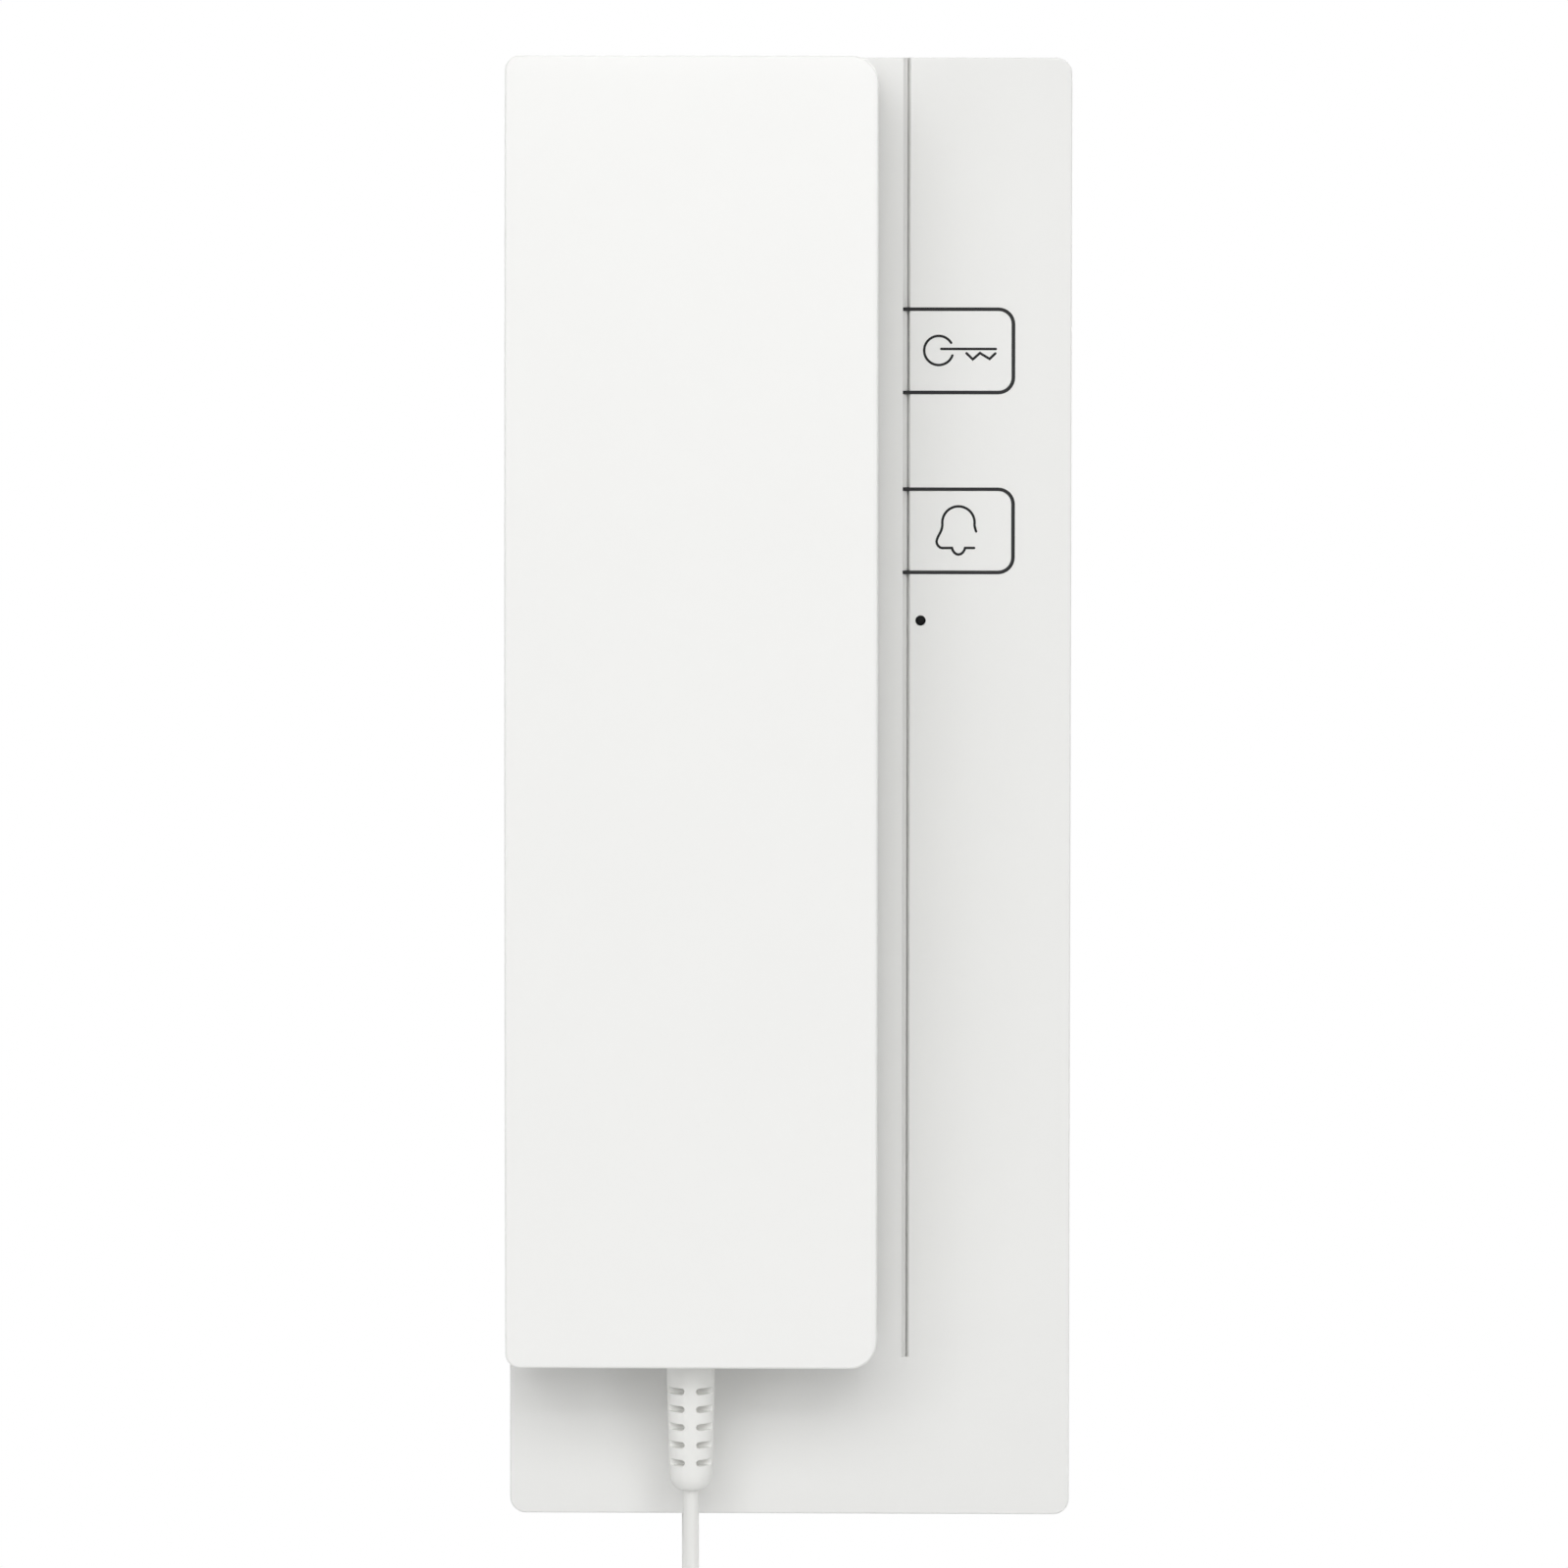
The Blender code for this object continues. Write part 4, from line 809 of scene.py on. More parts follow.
def strain_relief():
    height, width = RELIEF_SHOULDER
    collar = GAP + FOOT_LOWER
    high, low = FLANGE_UP
    profile = [(-high, RELIEF_FLANGE), (-low, RELIEF_FLANGE), (-low, RELIEF_NECK), (collar, RELIEF_NECK)]
    profile += [(collar, RELIEF_TOP - RELIEF_EDGE), (collar + RELIEF_EDGE, RELIEF_TOP)]
    for angle in quarter_turn(10):
        down = RELIEF_LENGTH - height * (1 - math.sin(angle))
        profile.append((down, RELIEF_END - width * (1 - math.cos(angle))))
    profile.append((RELIEF_LENGTH, RELIEF_TIP))
    sleeve = turned("strain_relief_sleeve", CORD_EXIT, relief_point(1.0) - CORD_EXIT, profile, 72)
    cut(sleeve, *[relief_pocket(r, s, f) for r in range(POCKET_ROWS) for s in (1, -1) for f in (1, -1)])
    return dress(sleeve, relief_pvc, "handset", ["strain_relief"])


strain_relief()

# %% [markdown]
# ## The front cover
#
# A shell with a tight fillet round its face. It could be drawn face by face, with every opening in the
# mesh from the start, but a plain shell with its openings cut keeps each size easy to change. What
# comes through it is the groove, the openings for the keys, the lamp's hole, the slots over the
# sounder, the opening for the hook plunger and the bay for the plug. Behind the panel two cups take
# the handset's ear and mouth pieces. Their mouths are rounded, as nothing with a sharp rim would be
# left where a handset is put down blind.
#
# The groove has a wide slope on the left, a hairline at its bottom and a steep wall on the right. It
# runs from the top to just short of the foot and carries on over the keys, whose hinges it hides. The
# slits round the keys are 0.54 mm wide and reach across the groove's slope.

# %% Sizes of the base
base_low, base_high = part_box("front_cover")
HALF_WIDTH, HALF_HEIGHT = base_high.x, base_high.z
PANEL_Y = base_low.y
BASE_CORNER = 0.0024
FRONT_FILLET = 0.0003
SHELL = 0.0020
PANEL_BACK_Y = PANEL_Y + 0.0022
PARTING_Y = -0.005
HANDSET_SOLID_HALF = 0.028
HANDSET_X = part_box("handset_outer_shell")[0].x + HANDSET_SOLID_HALF
WELLS = ((0.0842, 0.0216, 0.0180), (-0.0613, 0.0166, 0.0130))
WELL_FLOOR_Y = -0.0107
WELL_WALL = 0.0018
WELL_MOUTH_ROUND, WELL_FLOOR_ROUND = 0.0006, 0.0012
GROOVE_X = (0.01697, 0.01766, 0.01780, 0.01812)
GROOVE_DEPTH, HAIRLINE_DEPTH = 0.0009, 0.0016
GROOVE_FOOT_Z = -0.0865
KEY_X = (0.0179, 0.03343)
KEY_HALF_HEIGHT = 0.00603
KEY_SLIT = 0.00054
KEY_CORNER, SQUARE = 0.0020, 0.0001
KEY_GAP = 0.00006
KEY_Z = {"door_release_key": 0.06625, "call_key": 0.03904}
LED_X, LED_Z, LED_HOLE = 0.01972, 0.02545, 0.00079
HOOK_Z = 0.051
PLUNGER_HALF, PLUNGER_ROOM_CORNER = (0.0042, 0.0052), 0.0018
SOUND_SLOT, SOUND_SLOT_ROUND, SOUND_SLOT_PITCH = (0.0070, 0.0008), 0.00079, 0.0040
SOUNDER_RING, SOUNDER_SEAT = (0.0172, -0.0125), (0.0155, -0.0115)
COVER_SCREW_X, COVER_SCREW_Y = 0.010, -0.0115
COVER_BLOCK = (0.0045, (-0.0185, -0.0068), (-0.1095, -0.1045))
COVER_SINK = ((-0.1120, 0.0033), (-0.1080, 0.0033), (-0.1080, 0.0018), (-0.1030, 0.0018))
JACK_BAY_HALF, JACK_BAY_Y, JACK_BAY_TOP_Z = 0.0085, (-0.0175, -0.0030), -0.1030

# %% Front cover


def base_slab(name, inset, sections):
    half = (HALF_WIDTH - inset, HALF_HEIGHT - inset)
    return slab_about(name, (0, 0), half, max(BASE_CORNER - inset, 0.0004), sections)


def groove_cutter():
    left, bottom, wall, right = GROOVE_X
    over = 0.0005
    left_over = left - (bottom - left) * over / GROOVE_DEPTH
    right_over = right + (right - wall) * over / GROOVE_DEPTH
    floor, hairline = PANEL_Y + GROOVE_DEPTH, PANEL_Y + HAIRLINE_DEPTH
    corners = (
        (left_over, PANEL_Y - over), (bottom, floor), (bottom, hairline),
        (wall, hairline), (wall, floor), (right_over, PANEL_Y - over),
    )
    return prism("groove", corners, (GROOVE_FOOT_Z, HALF_HEIGHT + OVER))


def add_well(cover, z, mouth, floor):
    """A cup behind the panel, with a rounded mouth and a rounded corner at its floor."""
    slope = (mouth - floor) / (WELL_FLOOR_Y - PANEL_Y)
    outer = [(PANEL_Y + OVER, mouth + WELL_WALL), (WELL_FLOOR_Y + WELL_WALL, floor + WELL_WALL)]
    fuse(cover, turned_y("cup", HANDSET_X, z, outer, 72))
    edge, corner = WELL_MOUTH_ROUND, WELL_FLOOR_ROUND
    inner = [(PANEL_Y - OVER, mouth + edge)]
    inner += [
        (PANEL_Y + edge * (1 - math.cos(a)), mouth + edge * (1 - math.sin(a)) - slope * edge)
        for a in quarter_turn(6)
    ]
    inner += [
        (WELL_FLOOR_Y - corner * (1 - math.sin(a)), floor + slope * corner - corner * (1 - math.cos(a)))
        for a in quarter_turn(6)
    ]
    cut(cover, turned_y("hollow", HANDSET_X, z, inner, 72))


def jack_bay():
    z_range = (-HALF_HEIGHT - OVER, JACK_BAY_TOP_Z)
    return block("jack_bay", about(JACK_X, JACK_BAY_HALF), JACK_BAY_Y, z_range)


def at_cover_screw(name, half_width, y_range, z_range):
    return block(name, about(COVER_SCREW_X, half_width), y_range, z_range)


def cover_screw_drill(profile, sides):
    return turned("drill", (COVER_SCREW_X, COVER_SCREW_Y, 0), UP, profile, sides)


def key_slab(name, key_name, x_from, outset, sections):
    """A slab with a key's outline, this far outside its flap."""
    corner = KEY_CORNER + outset
    x_range, z_range = (x_from, KEY_X[1] + outset), about(KEY_Z[key_name], KEY_HALF_HEIGHT + outset)
    return slab(name, x_range, z_range, (SQUARE, corner, corner, SQUARE), sections)


def panel_openings():
    y_range = (PANEL_Y - OVER, PANEL_BACK_Y + OVER)
    through = [(y, 0.0) for y in y_range]
    cutters = [rod("led_hole", LED_X, LED_Z, LED_HOLE, y_range)]
    cutters += [key_slab("opening", name, KEY_X[0] - KEY_GAP, KEY_SLIT, through) for name in KEY_Z]
    room = [size + GAP for size in PLUNGER_HALF]
    cutters.append(slab_about("plunger_room", (HANDSET_X, HOOK_Z), room, PLUNGER_ROOM_CORNER, through))
    for row in range(-2, 3):
        centre = (HANDSET_X, row * SOUND_SLOT_PITCH)
        cutters.append(slab_about("sound_slot", centre, SOUND_SLOT, SOUND_SLOT_ROUND, through, 5))
    return cutters


def slit_ends():
    """The slits' ends across the groove's slope."""
    ends = []
    x_range, y_range = (GROOVE_X[0], KEY_X[0]), (PANEL_Y - OVER, PANEL_BACK_Y + OVER)
    for z in KEY_Z.values():
        for side in (-1, 1):
            z_range = sorted((z + side * KEY_HALF_HEIGHT, z + side * (KEY_HALF_HEIGHT + KEY_SLIT)))
            ends.append(block("slit", x_range, y_range, z_range))
    return ends


def front_cover():
    cover = base_slab("front_cover_shell", 0.0, fillet(PARTING_Y - GAP, PANEL_Y, FRONT_FILLET))
    cut(cover, base_slab("hollow", SHELL, [(PANEL_BACK_Y, 0.0), (PARTING_Y + OVER, 0.0)]))
    for z, mouth, floor in WELLS:
        add_well(cover, z, mouth, floor)
    (ring, ring_y), (seat, seat_y) = SOUNDER_RING, SOUNDER_SEAT
    fuse(cover, rod("sounder_ring", HANDSET_X, 0.0, ring, (PANEL_BACK_Y - OVER, ring_y), 48))
    cut(cover, rod("sounder_seat", HANDSET_X, 0.0, seat, (PANEL_BACK_Y, seat_y), 48))
    fuse(cover, at_cover_screw("screw_block", *COVER_BLOCK))
    cut(cover, *panel_openings(), cover_screw_drill(COVER_SINK, 32), jack_bay())
    cut(cover, *slit_ends())
    cut(cover, groove_cutter())
    return dress(cover, base_abs, "base", ["front_cover"])


front_cover()

# %% [markdown]
# ## The keys
#
# Each key is a flap flush with the panel, hinged along the groove, with a post behind it that pushes
# a switch. It is a slab with the outline of its opening, drawn in by the slit, so the slit has one
# width all round. Its edge has a hair of rounding, 0.12 mm, which keeps the slit from looking drawn
# on. Its heel is cut away at the back, since that corner swings towards the cover when the key is
# pressed. The groove's cutter runs over both keys, which gives them the groove's slope.

# %% Keys
KEY_EDGE, KEY_THICK = 0.00012, 0.0020
HEEL_FROM, HEEL_CUT, HEEL_BACK = 0.0010, 0.00014, 0.0021
POST_X, POST_TIP_Y, POST_HALF = (0.0275, 0.0305), -0.0153, 0.0015


def key(name):
    faces = fillet(PANEL_Y + KEY_THICK, PANEL_Y, KEY_EDGE, 3)
    flap = key_slab(name + "_flap", name, KEY_X[0], 0.0, faces)
    fuse(flap, block("post", POST_X, (POST_TIP_Y, PANEL_Y + OVER), about(KEY_Z[name], POST_HALF)))
    start, back, edge = PANEL_Y + HEEL_FROM, PANEL_Y + HEEL_BACK, KEY_X[0]
    heel = ((edge - OVER, start), (edge, start), (edge + HEEL_CUT, back), (edge - OVER, back))
    cut(flap, groove_cutter(), prism("heel", heel, about(KEY_Z[name], KEY_HALF_HEIGHT + OVER)))
    return dress(flap, base_abs, name, [name])


for name in KEY_Z:
    key(name)

# %% [markdown]
# A web of black silicone rubber stands in each slit, a tenth of a millimetre below the panel. It is a
# dark piece put there for the shade deep in the slits, so that they read as near-black lines and not
# as grey ones: white walls alone would light each other down to the bottom.

# %% Black pieces for the shade in the slits
SHADE_WEB_FREE, SHADE_WEB_DOWN, SHADE_WEB_TALL = 0.00002, 0.00010, 0.0012


def black_slit_shade(name):
    """A U of rubber with its open side to the groove."""
    back, front = PANEL_Y + SHADE_WEB_DOWN + SHADE_WEB_TALL, PANEL_Y + SHADE_WEB_DOWN
    faces, through = [(back, 0.0), (front, 0.0)], [(back + OVER, 0.0), (front - OVER, 0.0)]
    # This black piece stands in for the shade deep in the slit.
    shade_web = key_slab(name + "_dust_seal", name, GROOVE_X[0] + SHADE_WEB_FREE, KEY_SLIT - SHADE_WEB_FREE, faces)
    cut(shade_web, key_slab("key_room", name, GROOVE_X[0] - OVER, SHADE_WEB_FREE, through))
    return dress(shade_web, black_rubber, "base", None)


for name in KEY_Z:
    black_slit_shade(name)

# %% [markdown]
# ## The printed symbols
#
# A key on the door key and a bell on the call key, both drawn with one line 0.38 mm wide. Each is a
# path of points on the panel, given a width and a thickness of a few hundredths of a millimetre: a
# ribbon with round ends that lies on the flap and moves with it.

# %% Ribbons
INK_WIDTH = 0.00038
INK_HEIGHT, INK_SINK = 0.00002, 0.00002
SHARPEST_MITRE = 0.35
SYMBOL_X = KEY_X[0] + 0.0079


def ribbon_outline(points, half):
    """The outline of a line of this half width with round ends and mitred corners."""
    points = [np.array(point) for point in points]
    ahead = [b - a for a, b in zip(points, points[1:])]
    ahead = [step / np.linalg.norm(step) for step in ahead]
    left, right = [], []
    for i, point in enumerate(points):
        before, after = ahead[max(i - 1, 0)], ahead[min(i, len(ahead) - 1)]
        mitre = before + after
        mitre /= np.linalg.norm(mitre)
        normal = np.array((-mitre[1], mitre[0]))
        reach = half / max(normal @ np.array((-after[1], after[0])), SHARPEST_MITRE)
        left.append(point + normal * reach)
        right.append(point - normal * reach)
    caps = []
    for point, direction in ((points[-1], ahead[-1]), (points[0], -ahead[0])):
        start = math.degrees(math.atan2(direction[1], direction[0])) + 90
        caps.append(arc_points(point, half, start, start - 180, 8)[1:-1])
    return left + caps[0] + right[::-1] + caps[1]


def ribbon(name, points, key_name):
    """A printed line on a key's face. points: mm from the symbol's centre."""
    path = [(SYMBOL_X + x / 1000, KEY_Z[key_name] + z / 1000) for x, z in points]
    outline = ribbon_outline(path, INK_WIDTH / 2)
    layers = (PANEL_Y + INK_SINK, PANEL_Y - INK_HEIGHT)
    line = stack(name, [[(x, y, z) for x, z in outline] for y in layers])
    line.data.materials.append(ink)
    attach(line, key_name)
    print(f"{name}: {len(outline)} points round")
    return line


# %% The symbols
DOOR_LINES = {
    "bow": arc_points((-3.40, 0.06), 2.20, 32, 340, 48),
    "shaft": [(-3.02, 0.30), (5.22, 0.30)],
    "bit": [(0.80, -0.35), (1.75, -1.27), (2.84, -0.32), (4.29, -1.21), (5.15, -0.38)],
}

# %% [markdown]
# The bell is one line: up its right side, over the dome, down the flaring left side, along the foot
# and round the clapper. It stays open at its lower right, where the side stops short of the foot.

# %% Bell and placing
CALL_LINES = {
    "bell": [
        (2.31, -0.08), (2.17, 0.33), (2.06, 0.82), *arc_points((-0.37, 1.27), 2.44, 0, 180, 32),
        (-2.80, 0.85), (-2.85, 0.50), (-2.94, 0.16), (-3.08, -0.18), (-3.47, -0.92), (-3.61, -1.28),
        (-3.67, -1.60), (-3.63, -1.91), (-3.43, -2.27), (-3.13, -2.52), (-2.81, -2.60), (-1.35, -2.58),
        (-1.23, -2.92), (-1.01, -3.26), (-0.71, -3.50), (-0.36, -3.58), (0.01, -3.50), (0.32, -3.25),
        (0.54, -2.90), (0.64, -2.58), (2.01, -2.58),
    ],
}
for part, points in DOOR_LINES.items():
    ribbon("symbol_door_" + part, points, "door_release_key")
for part, points in CALL_LINES.items():
    ribbon("symbol_call_" + part, points, "call_key")

# %% [markdown]
# ## The handset's front
#
# The front half bows out by 2.5 mm along its length and is straight across. A loft does this well:
# one outline is repeated up the sides, drawn in round a small fillet, and joined across the face by
# rungs. Every loop takes its depth from the same bow, so the fillet keeps its size from end to end.
# The last few millimetres at either end roll back a little more, where the face meets its ends.

# %% Sizes of the handset
HANDSET_WIDTH, HANDSET_LENGTH = 0.0557, 0.1962 + FOOT_LOWER
HANDSET_FOOT = HANDSET_FOOT_Z - FOOT_LOWER
HANDSET_TOP = HANDSET_FOOT + HANDSET_LENGTH
HANDSET_MIDDLE = HANDSET_FOOT + HANDSET_LENGTH / 2
HANDSET_MID_X = HANDSET_X + 0.0001
HANDSET_CROWN = 0.0025
HANDSET_FRONT_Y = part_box("handset_outer_shell")[0].y
HANDSET_BACK_Y = -0.0219
HANDSET_WALL = 0.0020
LEFT_CORNER, RIGHT_CORNER = 0.0022, 0.0040
EDGE, EDGE_STEPS = 0.0004, 8
STRAIGHT_SIDE = 0.004
ROLL_FROM, ROLL_DEPTH = 0.0065, 0.00013
SIDE_STEPS, CORNER_STEPS = 56, 10
HANDSET_SCREWS_Z = (0.030, -0.036)
TIGHTEST = 0.0005
BOSS, BOSS_BACK_Y, BOSS_HOLE, BOSS_HOLE_Y = 0.0036, -0.0281, 0.0015, (-0.0375, -0.0270)
RELIEF_HOLE, RELIEF_HOLE_UP = 0.0030, 0.0035
EAR_Z, MOUTH_Z = 0.083, -0.0625

# %% Handset front


def front_at(z):
    """The face's depth at a height."""
    bow = HANDSET_CROWN * ((z - HANDSET_MIDDLE) / (HANDSET_LENGTH / 2)) ** 2
    past = max(0.0, abs(z - HANDSET_MIDDLE) - HANDSET_LENGTH / 2 + ROLL_FROM) / ROLL_FROM
    return HANDSET_FRONT_Y + bow + ROLL_DEPTH * past**2


def side_points(inset, right):
    """Points (x, z) up one side of the handset, with half of each end's corner arc."""
    side, corner = (1, RIGHT_CORNER) if right else (-1, LEFT_CORNER)
    radius = corner - inset
    x_side = HANDSET_MID_X + side * (HANDSET_WIDTH / 2 - inset)
    x_centre = x_side - side * radius
    low, high = HANDSET_FOOT + inset + radius, HANDSET_TOP - inset - radius
    quarter = quarter_turn(CORNER_STEPS)
    points = [(x_centre + side * radius * math.sin(a), low - radius * math.cos(a)) for a in quarter]
    points += [(x_side, low + (high - low) * step / SIDE_STEPS) for step in range(1, SIDE_STEPS)]
    points += [(x_centre + side * radius * math.cos(a), high + radius * math.sin(a)) for a in quarter]
    return points


def handset_loop(inset, y_of):
    left, right = side_points(inset, False), side_points(inset, True)
    return [(x, y_of(z), z) for x, z in right + left[::-1]]


def handset_front():
    loops = [handset_loop(0.0, lambda z: SPLIT_Y), handset_loop(0.0, lambda z: SPLIT_Y - STRAIGHT_SIDE)]
    for angle in quarter_turn(EDGE_STEPS):
        deep = EDGE * (1 - math.sin(angle))
        loops.append(handset_loop(EDGE * (1 - math.cos(angle)), lambda z, deep=deep: front_at(z) + deep))
    return stack("handset_front", loops, rungs=True)


def handset_slab(name, inset, sections):
    x_range = about(HANDSET_MID_X, HANDSET_WIDTH / 2 - inset)
    z_range = (HANDSET_FOOT + inset, HANDSET_TOP - inset)
    corners = (LEFT_CORNER, RIGHT_CORNER, RIGHT_CORNER, LEFT_CORNER)
    return slab(name, x_range, z_range, [max(corner - inset, TIGHTEST) for corner in corners], sections)


def relief_hole():
    z_range = (HANDSET_FOOT - OVER, HANDSET_FOOT + RELIEF_HOLE_UP)
    return turned("relief_hole", (CORD_X, SPLIT_Y, 0), UP, [(z, RELIEF_HOLE) for z in z_range], 48)


shell = handset_front()
hollow_y = HANDSET_FRONT_Y + HANDSET_CROWN + HANDSET_WALL
cut(shell, handset_slab("hollow", HANDSET_WALL, [(SPLIT_Y + OVER, 0.0), (hollow_y, 0.0)]))
fuse(shell, *[rod("boss", HANDSET_X, z, BOSS, (hollow_y - OVER, BOSS_BACK_Y)) for z in HANDSET_SCREWS_Z])
cut(shell, *[rod("hole", HANDSET_X, z, BOSS_HOLE, BOSS_HOLE_Y) for z in HANDSET_SCREWS_Z])
cut(shell, relief_hole())
dress(shell, handset_abs, "handset", ["handset_outer_shell"])

# %% [markdown]
# ## The handset's back
#
# The back half sits 0.3 mm inside the front half's outline, which leaves the fine shadow line that
# every two-part handset shows. Two tapered pods carry the receiver and the microphone, each drilled
# for sound: nineteen holes at the ear and five at the mouth. The screws sit deep in round sinks.

# %% Handset back
EAR_POD, MOUTH_POD = (0.0205, 0.0165), (0.0155, 0.0115)
POD_TIP_Y, POD_EDGE = -0.0122, 0.001
SOUND_HOLE = 0.0009
EAR_HOLES = ((0.0, 1), (0.0040, 6), (0.0080, 12))
MOUTH_HOLES = ((0.0, 1), (0.0032, 4))
BACK_FILLET = 0.0015
SCREW_SEAT, SCREW_SEAT_Y = 0.0048, (-0.0278, HANDSET_BACK_Y - 0.0005)
SCREW_SINK = ((-0.0290, 0.0017), (-0.0256, 0.0017), (-0.0256, 0.0032), (-0.0209, 0.0032))


def add_pod(back_shell, z, radii, holes):
    root, tip = radii
    slope = (root - tip) / (POD_TIP_Y - HANDSET_BACK_Y)
    outer = [(HANDSET_BACK_Y - OVER, root + slope * OVER)] + rounded_edge(POD_TIP_Y, tip, POD_EDGE, -1)
    fuse(back_shell, turned_y("pod", HANDSET_X, z, outer, 72))
    inner_root_y, inner_tip_y = HANDSET_BACK_Y - HANDSET_WALL, POD_TIP_Y - HANDSET_WALL
    root_radius = root + slope * HANDSET_WALL - HANDSET_WALL
    tip_radius = tip + slope * HANDSET_WALL - HANDSET_WALL
    inner = [(inner_root_y - OVER, root_radius), (inner_tip_y, tip_radius)]
    cut(back_shell, turned_y("hollow", HANDSET_X, z, inner, 72))
    y_range = (inner_tip_y - OVER, POD_TIP_Y + OVER)
    drills = []
    for ring, count in holes:
        for angle in [2 * math.pi * i / count for i in range(count)]:
            x, hole_z = HANDSET_X + ring * math.cos(angle), z + ring * math.sin(angle)
            drills.append(rod("drill", x, hole_z, SOUND_HOLE, y_range, 20))
    cut(back_shell, *drills)


def handset_back():
    rim_y = SPLIT_Y + GAP
    floor_y = HANDSET_BACK_Y - HANDSET_WALL
    back_shell = handset_slab("handset_back", GAP, fillet(rim_y, HANDSET_BACK_Y, BACK_FILLET, 8))
    cut(back_shell, handset_slab("hollow", HANDSET_WALL + GAP, [(rim_y - OVER, 0.0), (floor_y, 0.0)]))
    add_pod(back_shell, EAR_Z, EAR_POD, EAR_HOLES)
    add_pod(back_shell, MOUTH_Z, MOUTH_POD, MOUTH_HOLES)
    fuse(back_shell, *[rod("seat", HANDSET_X, z, SCREW_SEAT, SCREW_SEAT_Y, 40) for z in HANDSET_SCREWS_Z])
    cut(back_shell, *[turned_y("sink", HANDSET_X, z, SCREW_SINK, 40) for z in HANDSET_SCREWS_Z])
    cut(back_shell, relief_hole())
    return dress(back_shell, handset_abs, "handset", ["handset_inner_shell"])


handset_back()

# %% [markdown]
# ## The rear housing
#
# The wall plate with its rim. What shows of it is the band behind the cover along each side, and its
# back: four slots for wall screws, a window for the wires, and an edge eased by a small chamfer. The
# solid alone would do for the band, but its square edge catches no light, so the plate is made again
# as a stack with that chamfer. The lip, pillars and ribs behind the cover come with it.

# %% Rear housing
PLATE_THICKNESS, ROOTED_Y = 0.0022, -0.001
LIP_HEIGHT, LIP_THICKNESS = 0.0035, 0.0016
BOARD_BACK_Y = -0.0088
BOARD_SCREWS = ((0.0155, 0.0845), (0.0345, 0.0845), (0.0155, -0.004))
PILLAR, PILLAR_HOLE, PILLAR_HOLE_FLOOR_Y = 0.0032, 0.0015, -0.0035
WALL_SLOT, WALL_SLOT_ROUND, WALL_SLOT_AT = (0.0025, 0.0045), 0.00249, (0.0335, 0.100)
CABLE_WINDOW_X, CABLE_WINDOW_Z, CABLE_WINDOW_CORNER = (0.012, 0.036), (-0.078, -0.048), 0.003
JACK_RIB_OUT, JACK_RIB_Y, JACK_RIB_Z = (0.0069, 0.0085), (-0.0125, ROOTED_Y), (-0.1005, -0.0845)
HOUSING_BLOCK = (0.0040, (-0.0165, ROOTED_Y), (-0.1042, -0.0975))
HOUSING_HOLE = ((-0.1060, 0.0015), (-0.0985, 0.0015))
COVER_BLOCK_ROOM = (0.0048, (-0.0120, -0.0052), (-0.1115, -0.1045))
CHAMFER = 0.0004


def plate_openings():
    through = [(OVER, 0.0), (-PLATE_THICKNESS - OVER, 0.0)]
    cutters = [slab("window", CABLE_WINDOW_X, CABLE_WINDOW_Z, [CABLE_WINDOW_CORNER] * 4, through)]
    for side in (-1, 1):
        for end in (-1, 1):
            centre = (side * WALL_SLOT_AT[0], end * WALL_SLOT_AT[1])
            cutters.append(slab_about("slot", centre, WALL_SLOT, WALL_SLOT_ROUND, through, 10))
    return cutters


def rear_housing():
    lip_inset = SHELL + GAP
    lip_y = PARTING_Y - LIP_HEIGHT
    steps = [(0.0, CHAMFER), (-CHAMFER, 0.0), (PARTING_Y, 0.0), (PARTING_Y, lip_inset), (lip_y, lip_inset)]
    housing = base_slab("rear_housing_plate", 0.0, steps)
    hollow = [(-PLATE_THICKNESS, 0.0), (lip_y - OVER, 0.0)]
    cut(housing, base_slab("hollow", lip_inset + LIP_THICKNESS, hollow))
    cut(housing, *plate_openings())
    pillar_y, hole_y = (BOARD_BACK_Y + GAP, ROOTED_Y), (BOARD_BACK_Y - OVER, PILLAR_HOLE_FLOOR_Y)
    fuse(housing, *[rod("pillar", x, z, PILLAR, pillar_y, 32) for x, z in BOARD_SCREWS])
    cut(housing, *[rod("hole", x, z, PILLAR_HOLE, hole_y) for x, z in BOARD_SCREWS])
    fuse(housing, at_cover_screw("screw_block", *HOUSING_BLOCK))
    cut(housing, cover_screw_drill(HOUSING_HOLE, 24))
    cut(housing, at_cover_screw("room", *COVER_BLOCK_ROOM))
    for side in (-1, 1):
        rib_x = sorted(JACK_X + side * edge for edge in JACK_RIB_OUT)
        fuse(housing, block("rib", rib_x, JACK_RIB_Y, JACK_RIB_Z))
    cut(housing, jack_bay())
    return dress(housing, base_abs, "base", ["rear_housing"])


rear_housing()

# %% [markdown]
# ## Screws
#
# Steel screws with a pan head, a cross recess and a thread. The head is a turned profile with a
# rounded shoulder. The recess is two tapered slots cut across each other. The thread is drawn as
# rings: a true helix would differ only by its lead, which can't be seen in the depth of a boss.

# %% Screws
PAN_HEAD = (0.0027, 0.0018, 0.0012)
TERMINAL_HEAD_HEIGHT, TERMINAL_SHANK = 0.0012, 0.0011
COVER_SCREW_TOP, COVER_SCREW_LENGTH = (COVER_SCREW_X, COVER_SCREW_Y, -0.1101), 0.0105
HANDSET_SCREW_Y, HANDSET_SCREW_LENGTH = -0.0235, 0.0125
BOARD_SCREW_Y, BOARD_SCREW_LENGTH = -0.0125, 0.0080
THREAD_PITCH = 0.0006
WEDGE_OVER = 0.0004
# The rest are shares: of the head's height and radius, of the shank's radius, of the wedge's size.
CROWN_TALL, CROWN_DRAWN_IN = 0.55, 0.35
RECESS_LONG, SLOT_LONG, RECESS_WIDE, RECESS_DEEP = 1.15, 2.1, 0.24, 0.62
THREAD_ROOT, TIP = 0.8, 0.4
WEDGE_TOP, WEDGE_FLOOR = 1.1, 0.45


